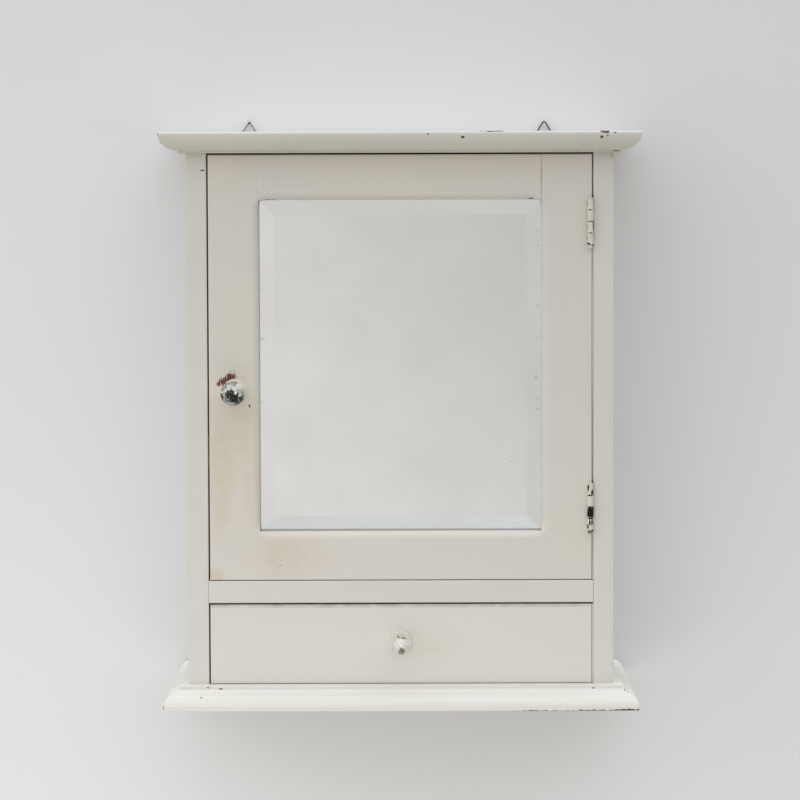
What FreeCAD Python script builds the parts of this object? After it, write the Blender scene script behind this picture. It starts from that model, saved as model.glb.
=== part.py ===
import FreeCAD, Part

import os
from types import SimpleNamespace

import Sketcher

# A wall cabinet: a moulded base and cornice board, two sides, an inset mirror door on butt hinges
# and a dovetailed drawer below it.  Millimetres, +X right, -Y front, +Z up.  The origin is the
# middle of the base board's flat underside.

SIZES = {
    # case
    "case_width": 426.0,  # over both sides
    "case_depth": 160.0,  # front edge of the sides to the back
    "board": 20.5,  # side boards
    "overhang": 24.0,  # base past the front and the ends
    "drawer_bay_high": 81.7,
    "divider_thick": 22.5,
    "door_bay_high": 427.7,
    "dado_deep": 7.0,  # divider housed in the sides
    "dado_stop": 12.0,  # housing stops this far behind the face
    "back_thick": 5.0,
    "back_rebate_wide": 9.0,
    "back_inset": 1.0,
    "edge_ease": 1.2,  # sanded front edges of sides, divider, door and drawer
    # base moulding, from the floor up
    "base_lip_high": 4.0,
    "base_bead_high": 10.5,
    "base_bead_in": 6.5,
    "base_bead_round": 14.0,
    "base_cove_high": 4.5,
    "base_cove_round": 9.0,
    "base_quirk_high": 3.6,
    "base_quirk_out": 1.5,
    "base_ledge": 8.5,
    # cornice moulding, from its underside up
    "cornice_out": 25.5,  # past the front and the ends
    "cornice_fillet_out": 7.3,
    "cornice_fillet_high": 2.5,
    "cornice_ovolo_out": 8.9,  # where the curve springs from
    "cornice_ovolo_high": 15.5,
    "cornice_ovolo_round": 18.5,
    "cornice_flat_high": 0.5,
    "cornice_edge_round": 2.5,
    # shelves
    "shelf_thick": 12.0,
    "shelf_lower_up": 136.0,  # above the divider
    "shelf_upper_up": 281.0,
    "shelf_side_gap": 0.5,
    "shelf_behind_stop": 2.0,
    "cleat": 12.0,
    "cleat_front_gap": 6.0,
    # door
    "door_thick": 21.0,
    "door_gap_side": 1.4,
    "door_gap_top": 1.5,
    "door_gap_bottom": 0.7,
    "stile_wide": 50.1,
    "top_rail_wide": 45.2,
    "bottom_rail_wide": 48.5,
    "sight_round": 7.0,  # rounded edge round the mirror
    "sight_corner_round": 9.0,  # left by the cutter's bearing
    "lip_thick": 8.0,
    "mirror_rebate_wide": 9.0,
    "tenon_thick": 7.0,
    "tenon_long": 35.0,
    "tenon_inset": 6.0,
    "mortise_end_gap": 0.5,
    "door_stop": 8.0,
    # mirror
    "glass_clearance": 1.0,
    "glass_edge": 2.6,
    "bevel_wide": 23.0,
    "bevel_drop": 1.4,
    "backing_thick": 3.0,
    "bead_wide": 11.0,
    "bead_round": 4.0,
    # butt hinges
    "hinge_long": 46.0,
    "hinge_from_top": 44.1,
    "hinge_from_bottom": 50.5,
    "barrel_radius": 3.0,
    "barrel_out": 3.3,  # pin's axis ahead of the door's face
    "barrel_in": 1.9,  # pin's axis inside the door's edge
    "pin_radius": 1.5,
    "pin_clearance": 0.06,
    "pin_tip_radius": 2.3,
    "knuckle_gap": 0.3,
    "leaf_thick": 1.3,
    "leaf_wide": 17.0,
    "leaf_gap": 0.1,
    # door knob
    "knob_from_edge": 25.4,
    "knob_up": 189.5,
    "rose_radius": 12.5,
    "rose_round": 1.2,
    "rose_step_radius": 10.0,
    "rose_step_high": 1.8,
    "rose_thick": 3.4,
    "knob_foot_radius": 6.5,
    "knob_foot_high": 1.5,
    "knob_neck_radius": 4.2,
    "knob_neck_round": 9.0,
    "knob_ball_radius": 12.25,
    "knob_ball_out": 21.0,  # ball's middle above the rose
    "bolt_radius": 2.0,
    "bolt_in_knob": 12.0,
    "bolt_head_radius": 4.5,
    "bolt_head_high": 2.8,
    # ball catch in the door's free edge
    "catch_up": 130.0,
    "catch_radius": 4.0,
    "catch_long": 14.0,
    "catch_end_wall": 1.0,
    "catch_ball_radius": 2.5,
    "catch_ball_out": 0.6,
    "catch_clearance": 0.1,
    "spring_wire_radius": 0.3,
    "spring_radius": 1.8,
    "spring_pitch": 2.0,
    "strike_thick": 0.5,
    "strike_wide": 13.0,
    "strike_high": 30.0,
    "strike_screw_spread": 21.0,
    # drawer
    "drawer_gap_side": 1.4,
    "drawer_gap_top": 1.6,
    "drawer_gap_bottom": 0.4,
    "drawer_front_thick": 19.0,
    "drawer_side_thick": 11.0,
    "drawer_side_high": 72.0,
    "drawer_back_thick": 9.0,
    "drawer_back_dado": 4.0,
    "drawer_back_inset": 8.0,
    "drawer_back_drop": 5.0,
    "drawer_bottom_thick": 4.0,
    "drawer_bottom_up": 8.0,
    "drawer_groove": 5.0,
    "drawer_stop_thick": 12.0,
    "drawer_stop_wide": 30.0,
    "drawer_stop_high": 14.0,
    "drawer_stop_from_side": 14.0,
    "dovetail_long": 13.0,
    "dovetail_pitch": 21.0,
    "dovetail_root": 11.0,
    "dovetail_flare": 2.0,
    # drawer pull
    "pull_up": 42.0,  # above the drawer front's lower edge
    "pull_rose_radius": 11.0,
    "pull_rose_thick": 2.5,
    "pull_rose_round": 1.5,
    "pull_neck_radius": 3.2,
    "pull_neck_high": 1.5,
    "pull_bud_radius": 8.0,
    "pull_bud_up": 6.5,  # widest part above the rosette
    "pull_bud_under": 5.0,
    "pull_bud_high": 23.5,
    "pull_bud_round": 32.5,
    "pull_nose_radius": 3.2,
    "pull_out": 38.0,
    "pull_bolt_in": 8.0,
    # hanging rings
    "ring_left_in": 51.5,  # ring's middle from the case's side
    "ring_right_in": 60.5,
    "ring_below_top": 3.0,
    "ring_wire_radius": 1.1,
    "ring_wide": 23.0,
    "ring_high": 17.2,
    "ring_corner_round": 2.5,
    "ring_clearance": 0.08,
    "strap_thick": 1.0,
    "strap_wide": 11.0,
    "strap_long": 13.0,
    # screws and nails
    "screw_head_radius": 2.7,
    "screw_radius": 1.4,
    "hinge_screw_long": 12.0,
    "small_head_radius": 2.0,
    "small_head_high": 0.9,
    "small_radius": 1.0,
    "small_screw_long": 9.0,
    "small_screw_spread": 5.5,
    "base_head_radius": 3.6,
    "base_head_high": 2.8,
    "base_screw_radius": 1.9,
    "base_screw_long": 45.0,
    "nail_radius": 1.1,
    "nail_head_radius": 2.4,
    "nail_head_high": 1.0,
    "top_nail_long": 45.0,
    "back_nail_long": 20.0,
    "cleat_nail_long": 22.0,
    "pin_nail_radius": 0.7,
    "pin_nail_long": 11.0,
    "drawer_nail_long": 20.0,
}
KNUCKLES = 4
HINGE_SCREWS = 3
DOVETAILS = 3
BOARD_FASTENERS = 3
BACK_NAILS = 5
BEAD_PINS = 2
CLEAT_NAILS = 2
DRAWER_NAILS = 3


class Size:
    """A length: its number now, and the expression that gives it from the sheet."""

    def __init__(self, value, text):
        self.value = float(value)
        self.text = text

    def __add__(self, other):
        other = as_size(other)
        return Size(self.value + other.value, f"({self.text} + {other.text})")

    def __sub__(self, other):
        other = as_size(other)
        return Size(self.value - other.value, f"({self.text} - {other.text})")

    def __mul__(self, factor):
        return Size(self.value * factor, f"({self.text} * {factor})")

    def __truediv__(self, factor):
        return Size(self.value / factor, f"({self.text} / {factor})")

    def __neg__(self):
        return Size(-self.value, f"(0 - {self.text})")


def as_size(number):
    """A plain number as a size."""
    return number if isinstance(number, Size) else Size(number, repr(float(number)))


doc = FreeCAD.newDocument("MirrorCabinet")
sheet = doc.addObject("Spreadsheet::Sheet", "Sizes")
for row, (alias, number) in enumerate(SIZES.items(), start=1):
    sheet.set(f"A{row}", alias)
    sheet.set(f"B{row}", str(number))
    sheet.setAlias(f"B{row}", alias)
doc.recompute()

S = SimpleNamespace(**{alias: Size(number, "Sizes." + alias) for alias, number in SIZES.items()})

# Planes of the case that more than one piece meets.
BACK = (S.case_depth + S.overhang) / 2
FACE = BACK - S.case_depth
HALF = S.case_width / 2
INSIDE = HALF - S.board
BASE_TOP = S.base_lip_high + S.base_bead_high + S.base_cove_high + S.base_quirk_high
DIVIDER_LOW = BASE_TOP + S.drawer_bay_high
DIVIDER_TOP = DIVIDER_LOW + S.divider_thick
BAY_TOP = DIVIDER_TOP + S.door_bay_high
FILLET_TOP = BAY_TOP + S.cornice_fillet_high
OVOLO_TOP = FILLET_TOP + S.cornice_ovolo_high
CORNICE_TOP = OVOLO_TOP + S.cornice_flat_high + S.cornice_edge_round
PANEL_FRONT = BACK - S.back_inset - S.back_thick

# Door.
DOOR_EDGE = INSIDE - S.door_gap_side
DOOR_LOW = DIVIDER_TOP + S.door_gap_bottom
DOOR_TOP = BAY_TOP - S.door_gap_top
DOOR_BACK = FACE + S.door_thick
SIGHT = DOOR_EDGE - S.stile_wide
SIGHT_LOW = DOOR_LOW + S.bottom_rail_wide
SIGHT_TOP = DOOR_TOP - S.top_rail_wide
LIP_BACK = FACE + S.lip_thick
REBATE = SIGHT + S.mirror_rebate_wide
REBATE_LOW = SIGHT_LOW - S.mirror_rebate_wide
REBATE_TOP = SIGHT_TOP + S.mirror_rebate_wide
KNOB_X = S.knob_from_edge - DOOR_EDGE
KNOB_Z = DOOR_LOW + S.knob_up
CATCH_Y = FACE + S.door_thick / 2
CATCH_Z = DOOR_LOW + S.catch_up

# Hinge pins.
PIN_X = DOOR_EDGE - S.barrel_in
PIN_Y = FACE - S.barrel_out
CASE_LEAF_X = INSIDE - S.leaf_thick
DOOR_LEAF_X = CASE_LEAF_X - S.leaf_gap - S.leaf_thick
HINGES = {
    "upper": DOOR_TOP - S.hinge_from_top - S.hinge_long,
    "lower": DOOR_LOW + S.hinge_from_bottom,
}

# Drawer.
DRAWER_EDGE = INSIDE - S.drawer_gap_side
DRAWER_LOW = BASE_TOP + S.drawer_gap_bottom
DRAWER_TOP = DIVIDER_LOW - S.drawer_gap_top
DRAWER_END = PANEL_FRONT - S.drawer_stop_thick
DRAWER_BACK_REAR = DRAWER_END - S.drawer_back_inset
BOTTOM_LOW = BASE_TOP + S.drawer_bottom_up
BOTTOM_TOP = BOTTOM_LOW + S.drawer_bottom_thick
PULL_Z = DRAWER_LOW + S.pull_up

# Rings.
RING_Z = CORNICE_TOP - S.ring_below_top
STRAP_RADIUS = S.ring_wire_radius + S.ring_clearance + S.strap_thick
RING_Y = BACK + STRAP_RADIUS
RINGS = {"left": S.ring_left_in - HALF, "right": HALF - S.ring_right_in}

# Turns that take +Z to each direction.
TURNS = {
    "+Z": FreeCAD.Rotation(),
    "-Z": FreeCAD.Rotation(FreeCAD.Vector(1, 0, 0), 180),
    "+X": FreeCAD.Rotation(FreeCAD.Vector(0, 1, 0), 90),
    "-X": FreeCAD.Rotation(FreeCAD.Vector(0, 1, 0), -90),
    "+Y": FreeCAD.Rotation(FreeCAD.Vector(1, 0, 0), -90),
    "-Y": FreeCAD.Rotation(FreeCAD.Vector(1, 0, 0), 90),
}


def bind(obj, **sizes):
    """Ties an object's properties to the sheet."""
    for name, size in sizes.items():
        obj.setExpression(name, as_size(size).text)


def place(obj, x, y, z, toward="+Z"):
    """Puts an object's own origin at x, y, z with its own Z axis pointing `toward`."""
    obj.Placement = FreeCAD.Placement(FreeCAD.Vector(0, 0, 0), TURNS[toward])
    for axis, size in zip("xyz", (x, y, z)):
        obj.setExpression(f"Placement.Base.{axis}", as_size(size).text)
    return obj


def box(name, low, high):
    """A box between two corners."""
    block = doc.addObject("Part::Box", name)
    bind(block, Length=high[0] - low[0], Width=high[1] - low[1], Height=high[2] - low[2])
    return place(block, *low)


def rod(name, start, toward, radius, length):
    """A cylinder from `start` in the direction `toward`."""
    cylinder = doc.addObject("Part::Cylinder", name)
    bind(cylinder, Radius=radius, Height=length)
    return place(cylinder, *start, toward)


def ball(name, centre, radius):
    """A sphere."""
    sphere = doc.addObject("Part::Sphere", name)
    bind(sphere, Radius=radius)
    return place(sphere, *centre)


def cut(name, base, *tools):
    """The base with each tool taken out of it."""
    for number, tool in enumerate(tools, start=1):
        last = number == len(tools)
        result = doc.addObject("Part::Cut", name if last else f"{name}_cut_{number}")
        result.Base = base
        result.Tool = tool
        base = result
    return base


def fuse(name, *pieces):
    """The pieces as one solid."""
    result = doc.addObject("Part::MultiFuse", name)
    result.Shapes = list(pieces)
    result.Refine = True
    return result


def common(name, one, other):
    """What two solids share."""
    result = doc.addObject("Part::Common", name)
    result.Base = one
    result.Tool = other
    return result


def group(name, pieces):
    """Separate solids that share one node."""
    result = doc.addObject("Part::Compound", name)
    result.Links = list(pieces)
    return result


def new_body(name):
    return doc.addObject("PartDesign::Body", name)


def new_sketch(body, name, role):
    """An empty sketch on one of the body's own planes."""
    sketch = body.newObject("Sketcher::SketchObject", name)
    plane = next(feature for feature in body.Origin.OriginFeatures if feature.Role == role)
    sketch.AttachmentSupport = (plane, "")
    sketch.MapMode = "FlatFace"
    return sketch


def arc_between(start, end, turn):
    """The short arc from start to end: radius abs(turn), anticlockwise where turn is positive."""
    chord = end - start
    rise = (turn * turn - chord.Length**2 / 4) ** 0.5
    across = FreeCAD.Vector(-chord.y, chord.x, 0).normalize()
    centre = start + chord / 2 + across * (rise if turn > 0 else -rise)
    middle = centre - across * turn
    return Part.Arc(start, middle, end)


def draw(sketch, points):
    """A closed outline.  Each point is (u, v) or (u, v, turn), where turn is the signed radius of
    the arc that ends there.  Each point and each radius is tied to the sheet."""
    points = [tuple(as_size(number) for number in point) for point in points]
    spots = [FreeCAD.Vector(point[0].value, point[1].value, 0) for point in points]
    for index in range(len(points)):
        arrival = points[(index + 1) % len(points)]
        start, end = spots[index], spots[(index + 1) % len(spots)]
        if len(arrival) == 3:
            sketch.addGeometry(arc_between(start, end, arrival[2].value), False)
        else:
            sketch.addGeometry(Part.LineSegment(start, end), False)
    ends = [(2, 1) if not arrives_clockwise(points, index) else (1, 2) for index in range(len(points))]
    for index in range(len(points)):
        following = (index + 1) % len(points)
        joint = (index, ends[index][0], following, ends[following][1])
        sketch.addConstraint(Sketcher.Constraint("Coincident", *joint))
    for index, point in enumerate(points):
        start = ends[index][1]
        tie(sketch, Sketcher.Constraint("DistanceX", -1, 1, index, start, point[0].value), point[0])
        tie(sketch, Sketcher.Constraint("DistanceY", -1, 1, index, start, point[1].value), point[1])
        arrival = points[(index + 1) % len(points)]
        if len(arrival) == 3:
            radius = arrival[2] if arrival[2].value > 0 else -arrival[2]
            tie(sketch, Sketcher.Constraint("Radius", index, radius.value), radius)


def arrives_clockwise(points, index):
    """Whether the outline's edge `index` is a clockwise arc, which the sketch stores end first."""
    arrival = points[(index + 1) % len(points)]
    return len(arrival) == 3 and arrival[2].value < 0


def tie(sketch, constraint, size):
    """Adds a constraint whose value comes from the sheet."""
    number = sketch.addConstraint(constraint)
    sketch.setExpression(f"Constraints[{number}]", size.text)


def rectangle(low, high):
    """The corners of a rectangle, anticlockwise."""
    return [(low[0], low[1]), (high[0], low[1]), (high[0], high[1]), (low[0], high[1])]


def rounded_rectangle(low, high, radius):
    """A rectangle with round corners, anticlockwise."""
    (left, bottom), (right, top) = low, high
    return [
        (left + radius, bottom, radius),
        (right - radius, bottom),
        (right, bottom + radius, radius),
        (right, top - radius),
        (right - radius, top, radius),
        (left + radius, top),
        (left, top - radius, radius),
        (left, bottom + radius),
    ]


def pad(body, name, role, points, length, middle=False):
    """An outline on one of the body's planes, padded."""
    sketch = new_sketch(body, name + "_sketch", role)
    draw(sketch, points)
    feature = body.newObject("PartDesign::Pad", name)
    feature.Profile = sketch
    feature.Midplane = middle
    bind(feature, Length=length)
    return feature


def pocket(body, name, role, points, length):
    """An outline on one of the body's planes, cut the way its pad went."""
    sketch = new_sketch(body, name + "_sketch", role)
    draw(sketch, points)
    feature = body.newObject("PartDesign::Pocket", name)
    feature.Profile = sketch
    feature.Reversed = True
    bind(feature, Length=length)
    return feature


def ease(body, feature, name, radius, wanted):
    """Rounds the edges of a feature's front face that `wanted` picks."""
    doc.recompute()
    fillet = body.newObject("PartDesign::Fillet", name)
    fillet.Base = (feature, front_edges(feature.Shape, wanted))
    bind(fillet, Radius=radius)
    return fillet


def front_edges(shape, wanted):
    """The names of the front face's edges that `wanted` picks by their bounds."""
    outer = shape.BoundBox
    names = []
    for number, edge in enumerate(shape.Edges, start=1):
        bounds = edge.BoundBox
        if near(bounds.YMin, outer.YMin) and near(bounds.YMax, outer.YMin) and wanted(bounds, outer):
            names.append(f"Edge{number}")
    return names


def near(one, other):
    return abs(one - other) < 1e-4


def upright(bounds, outer):
    """Whether an edge is the left or right end of the shape."""
    return near(bounds.XMax, outer.XMin) or near(bounds.XMin, outer.XMax)


def level(bounds, outer):
    """Whether an edge is the top or bottom of the shape."""
    return near(bounds.ZMax, outer.ZMin) or near(bounds.ZMin, outer.ZMax)


def outline_edge(bounds, outer):
    return upright(bounds, outer) or level(bounds, outer)


def opening_edge(bounds, outer):
    return not outline_edge(bounds, outer)


def eased_board(name, low, high, wanted):
    """A board between two corners whose front edges are eased where `wanted` picks them."""
    body = new_body(name)
    outline = rectangle((low[0], low[2]), (high[0], high[2]))
    board = pad(body, name + "_pad", "XZ_Plane", outline, high[1] - low[1])
    ease(body, board, name + "_ease", S.edge_ease, wanted)
    return place(body, 0, high[1], 0)


def turned(name, points):
    """A lathe form: (radius, height) points, turned about the body's own Z axis."""
    body = new_body(name)
    sketch = new_sketch(body, name + "_sketch", "XZ_Plane")
    draw(sketch, points)
    feature = body.newObject("PartDesign::Revolution", name + "_turning")
    feature.Profile = sketch
    feature.ReferenceAxis = (sketch, ["V_Axis"])
    feature.Angle = 360
    return body


def screw(name, start, toward, head_radius, head_high, radius, length):
    """A countersunk wood screw whose flat head lies at `start`."""
    head = doc.addObject("Part::Cone", name + "_head")
    bind(head, Radius1=head_radius, Radius2=radius, Height=head_high)
    place(head, *start, toward)
    return fuse(name, head, rod(name + "_shank", start, toward, radius, length))


def nail(name, start, toward, radius, length, head_radius=None, head_high=None):
    """A nail with a flat head, or a headless pin."""
    if head_radius is None:
        return rod(name, start, toward, radius, length)
    head = rod(name + "_head", start, toward, head_radius, head_high)
    return fuse(name, head, rod(name + "_shank", start, toward, radius, length))


def spread(low, high, count):
    """`count` places evenly between two ends, half a step in from each."""
    return [low + (high - low) * ((2 * index + 1) / (2 * count)) for index in range(count)]


# Case


def moulding(steps, edge):
    """A moulding's (out, up, turn) steps, moved out from `edge` to the right."""
    return [(edge + out, up, *turn) for out, up, *turn in steps]


def mirrored(points):
    """The same steps on the left, walked from the top down."""
    walked = []
    for index in reversed(range(len(points))):
        turn = points[index + 1][2:] if index + 1 < len(points) else ()
        walked.append((-points[index][0], points[index][1], *turn))
    return walked


def moulded_board(name, steps, out):
    """A board with the moulding along its front and both ends, mitred where they meet.  It stands
    `out` past the case on those three sides."""
    front = new_body(name + "_front")
    low, high = steps[0][1], steps[-1][1]
    points = [(BACK, low), (BACK, high), *mirrored(moulding(steps, -FACE))]
    pad(front, name + "_front_pad", "YZ_Plane", points, S.case_width + out * 2, middle=True)
    ends = new_body(name + "_ends")
    right = moulding(steps, HALF)
    pad(ends, name + "_ends_pad", "XZ_Plane", right + mirrored(right), S.case_depth + out)
    place(ends, 0, BACK, 0)
    return common(name, front, ends)


def base_steps():
    """Lip, bead, cove and quirk, from the floor up to the ledge round the case."""
    bead_top = S.base_lip_high + S.base_bead_high
    cove_top = bead_top + S.base_cove_high
    return [
        (S.overhang, as_size(0)),
        (S.overhang, S.base_lip_high),
        (S.overhang - S.base_bead_in, bead_top, S.base_bead_round),
        (S.base_ledge + S.base_quirk_out, cove_top, -S.base_cove_round),
        (S.base_ledge, cove_top),
        (S.base_ledge, BASE_TOP),
    ]


def cornice_steps():
    """Fillet, ovolo and rounded top edge, from the case up."""
    return [
        (S.cornice_fillet_out, BAY_TOP),
        (S.cornice_fillet_out, FILLET_TOP),
        (S.cornice_ovolo_out, FILLET_TOP),
        (S.cornice_out, OVOLO_TOP, S.cornice_ovolo_round),
        (S.cornice_out, OVOLO_TOP + S.cornice_flat_high),
        (S.cornice_out - S.cornice_edge_round, CORNICE_TOP, S.cornice_edge_round),
    ]


def board_fasteners(name, make):
    """A row of fasteners along the middle of each side board."""
    rows = []
    for side, sign in (("left", -1), ("right", 1)):
        for number, y in enumerate(spread(FACE, BACK, BOARD_FASTENERS), start=1):
            rows.append(make(f"{name}_{side}_{number}", (HALF - S.board / 2) * sign, y))
    return group(name, rows)


def base_screws():
    def make(name, x, y):
        head = (S.base_head_radius, S.base_head_high)
        return screw(name, (x, y, as_size(0)), "+Z", *head, S.base_screw_radius, S.base_screw_long)

    return board_fasteners("base_screws", make)


def top_nails():
    def make(name, x, y):
        head = (S.nail_head_radius, S.nail_head_high)
        return nail(name, (x, y, CORNICE_TOP), "-Z", S.nail_radius, S.top_nail_long, *head)

    return board_fasteners("top_nails", make)


def back_panel():
    """Plywood in rebates in the sides, between the base and the cornice."""
    edge = INSIDE + S.back_rebate_wide
    low, high = (-edge, PANEL_FRONT, BASE_TOP), (edge, PANEL_FRONT + S.back_thick, BAY_TOP)
    return box("back_panel_blank", low, high)


def back_nails():
    rows = []
    for side, sign in (("left", -1), ("right", 1)):
        for number, z in enumerate(spread(BASE_TOP, BAY_TOP, BACK_NAILS), start=1):
            name = f"back_nails_{side}_{number}"
            start = ((INSIDE + S.back_rebate_wide / 2) * sign, BACK, z)
            head = (S.nail_head_radius, S.back_inset)
            rows.append(nail(name, start, "-Y", S.nail_radius, S.back_nail_long, *head))
    return group("back_nails", rows)


def divider():
    """The board between door and drawer, housed in both sides by tongues that stop behind their
    front edges."""
    edge = INSIDE + S.dado_deep
    low, high = (-INSIDE, FACE, DIVIDER_LOW), (INSIDE, PANEL_FRONT, DIVIDER_TOP)
    board = eased_board("divider_board", low, high, level)
    low, high = (-edge, FACE + S.dado_stop, DIVIDER_LOW), (edge, PANEL_FRONT, DIVIDER_TOP)
    tongues = box("divider_tongues", low, high)
    return fuse("divider", board, tongues)


def side_board(side, *tools):
    """A side with the housing, rebate and holes of what it carries cut out of it."""
    low, high = (-HALF, -INSIDE) if side == "left" else (INSIDE, HALF)
    blank = eased_board(f"side_{side}_blank", (low, FACE, BASE_TOP), (high, BACK, BAY_TOP), upright)
    rebate_low = -INSIDE - S.back_rebate_wide if side == "left" else INSIDE
    rebate = box(
        f"side_{side}_rebate",
        (rebate_low, PANEL_FRONT, BASE_TOP),
        (rebate_low + S.back_rebate_wide, BACK, BAY_TOP),
    )
    return cut(f"side_{side}", blank, rebate, *tools)


def shelf(which, up):
    """A loose shelf, resting on two cleats."""
    edge = INSIDE - S.shelf_side_gap
    front = DOOR_BACK + S.door_stop + S.shelf_behind_stop
    low = DIVIDER_TOP + up
    return box(f"shelf_{which}", (-edge, front, low), (edge, PANEL_FRONT, low + S.shelf_thick))


def cleat(which, side, up):
    """The strip under one end of a shelf, with its front corner cut back."""
    top = DIVIDER_TOP + up
    front = DOOR_BACK + S.door_stop + S.shelf_behind_stop + S.cleat_front_gap
    body = new_body(f"cleat_{which}_{side}_blank")
    points = [
        (front + S.cleat / 2, top - S.cleat),
        (PANEL_FRONT, top - S.cleat),
        (PANEL_FRONT, top),
        (front, top),
        (front, top - S.cleat / 2),
    ]
    pad(body, f"cleat_{which}_{side}_pad", "YZ_Plane", points, S.cleat)
    return place(body, -INSIDE if side == "left" else INSIDE - S.cleat, 0, 0)


def cleat_nails():
    """Nails through the cleats and the door stop into the sides."""
    rows = []
    front = DOOR_BACK + S.door_stop + S.shelf_behind_stop + S.cleat_front_gap
    for which, up in (("lower", S.shelf_lower_up), ("upper", S.shelf_upper_up)):
        for side, sign, toward in (("left", -1, "-X"), ("right", 1, "+X")):
            for number, y in enumerate(spread(front, PANEL_FRONT, CLEAT_NAILS), start=1):
                start = ((INSIDE - S.cleat) * sign, y, DIVIDER_TOP + up - S.cleat / 2)
                name = f"cleat_nails_{which}_{side}_{number}"
                head = (S.nail_head_radius, S.nail_head_high)
                rows.append(nail(name, start, toward, S.nail_radius, S.cleat_nail_long, *head))
    for number, z in enumerate(spread(DIVIDER_TOP, BAY_TOP, BOARD_FASTENERS), start=1):
        start = (-INSIDE + S.door_stop, DOOR_BACK + S.door_stop / 2, z)
        rows.append(nail(f"cleat_nails_stop_{number}", start, "-X", S.nail_radius, S.cleat_nail_long))
    return group("cleat_nails", rows)


def door_stop():
    """The strip that the door's free edge closes against."""
    low = (-INSIDE, DOOR_BACK, DIVIDER_TOP)
    return box("door_stop_blank", low, (-INSIDE + S.door_stop, DOOR_BACK + S.door_stop, BAY_TOP))


def drawer_stop(side):
    """A block on the base that the drawer closes against."""
    near = INSIDE - S.drawer_stop_from_side
    far = near - S.drawer_stop_wide
    left, right = (-near, -far) if side == "left" else (far, near)
    low = (left, DRAWER_END, BASE_TOP)
    return box(f"drawer_stop_{side}", low, (right, PANEL_FRONT, BASE_TOP + S.drawer_stop_high))


# Hinges


def hinge_leaf(name, low, plate_x, knuckles, bore_radius, screws):
    """A leaf's plate with its own knuckles, each joined to the plate by a short web."""
    plate_high = (plate_x + S.leaf_thick, FACE + S.leaf_wide, low + S.hinge_long)
    pieces = [box(name + "_plate", (plate_x, FACE, low), plate_high)]
    pitch = S.hinge_long / KNUCKLES
    for number in knuckles:
        foot = low + pitch * number + S.knuckle_gap / 2
        tall = pitch - S.knuckle_gap
        start = (PIN_X, PIN_Y, foot)
        pieces.append(rod(f"{name}_knuckle_{number}", start, "+Z", S.barrel_radius, tall))
        web_low = (plate_x, PIN_Y, foot)
        pieces.append(box(f"{name}_web_{number}", web_low, (plate_x + S.leaf_thick, FACE, foot + tall)))
    blank = fuse(name + "_blank", *pieces)
    bore = rod(name + "_bore", (PIN_X, PIN_Y, low), "+Z", bore_radius, S.hinge_long)
    return cut(name, blank, bore, screws)


def hinge_pin(name, low):
    """A fixed pin with a ball tip below and a flat head above."""
    below = S.pin_tip_radius
    start = (PIN_X, PIN_Y, low - below)
    shank = rod(name + "_shank", start, "+Z", S.pin_radius, S.hinge_long + below + S.knuckle_gap)
    tip = ball(name + "_tip", start, S.pin_tip_radius)
    top = (PIN_X, PIN_Y, low + S.hinge_long)
    head = rod(name + "_head", top, "+Z", S.pin_tip_radius, S.knuckle_gap * 3)
    return fuse(name, shank, tip, head)


def hinge_screws(name, face_x, toward):
    """Three screws for each hinge, their heads flush with the leaf."""
    rows = []
    for which, low in HINGES.items():
        for number, z in enumerate(spread(low, low + S.hinge_long, HINGE_SCREWS), start=1):
            start = (face_x, FACE + S.leaf_wide * 0.6, z)
            head = (S.screw_head_radius, S.leaf_thick)
            label = f"{name}_{which}_{number}"
            rows.append(screw(label, start, toward, *head, S.screw_radius, S.hinge_screw_long))
    return group(name, rows)


# Door


def door_blank():
    """The whole door frame in one piece: the opening, the edge rounded by a cutter whose bearing
    leaves round corners, the sharp inner corners, and the rebate for the glass behind."""
    body = new_body("door_blank")
    outline = rectangle((-DOOR_EDGE, DOOR_LOW), (DOOR_EDGE, DOOR_TOP))
    pad(body, "door_board", "XZ_Plane", outline, S.door_thick)
    routed = rounded_rectangle((-SIGHT, SIGHT_LOW), (SIGHT, SIGHT_TOP), S.sight_corner_round)
    opening = pocket(body, "door_routed", "XZ_Plane", routed, S.door_thick)
    rounding = ease(body, opening, "door_rounding", S.sight_round, opening_edge)
    ease(body, rounding, "door_ease", S.edge_ease, outline_edge)
    sight = rectangle((-SIGHT, SIGHT_LOW), (SIGHT, SIGHT_TOP))
    pocket(body, "door_sight", "XZ_Plane", sight, S.door_thick)
    rebate = rectangle((-REBATE, REBATE_LOW), (REBATE, REBATE_TOP))
    pocket(body, "door_rebate", "XZ_Plane", rebate, S.door_thick - S.lip_thick)
    return place(body, 0, DOOR_BACK, 0)


def tenon_span(which):
    """The bottom and top of a rail's tenon, inside the wood behind the glass rebate."""
    if which == "top":
        return REBATE_TOP + S.tenon_inset / 2, DOOR_TOP - S.tenon_inset
    return DOOR_LOW + S.tenon_inset, REBATE_LOW - S.tenon_inset / 2


def tenon(name, side, which, length):
    """A tenon, or with a longer length its mortise, at one end of a rail."""
    low, high = tenon_span(which)
    front = FACE + (S.door_thick - S.tenon_thick) / 2
    left, right = (-SIGHT - length, -SIGHT) if side == "left" else (SIGHT, SIGHT + length)
    return box(name, (left, front, low), (right, front + S.tenon_thick, high))


def door_rail(blank, which, *tools):
    """A rail between the stiles, with a tenon at each end."""
    low, high = (SIGHT_TOP, DOOR_TOP) if which == "top" else (DOOR_LOW, SIGHT_LOW)
    name = f"door_rail_{which}"
    region = box(name + "_region", (-SIGHT, FACE, low), (SIGHT, DOOR_BACK, high))
    face = common(name + "_face", blank, region)
    tenons = [tenon(f"{name}_tenon_{side}", side, which, S.tenon_long) for side in ("left", "right")]
    rail = fuse(name + "_joined", face, *tenons)
    return cut(name, rail, *tools)


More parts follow.
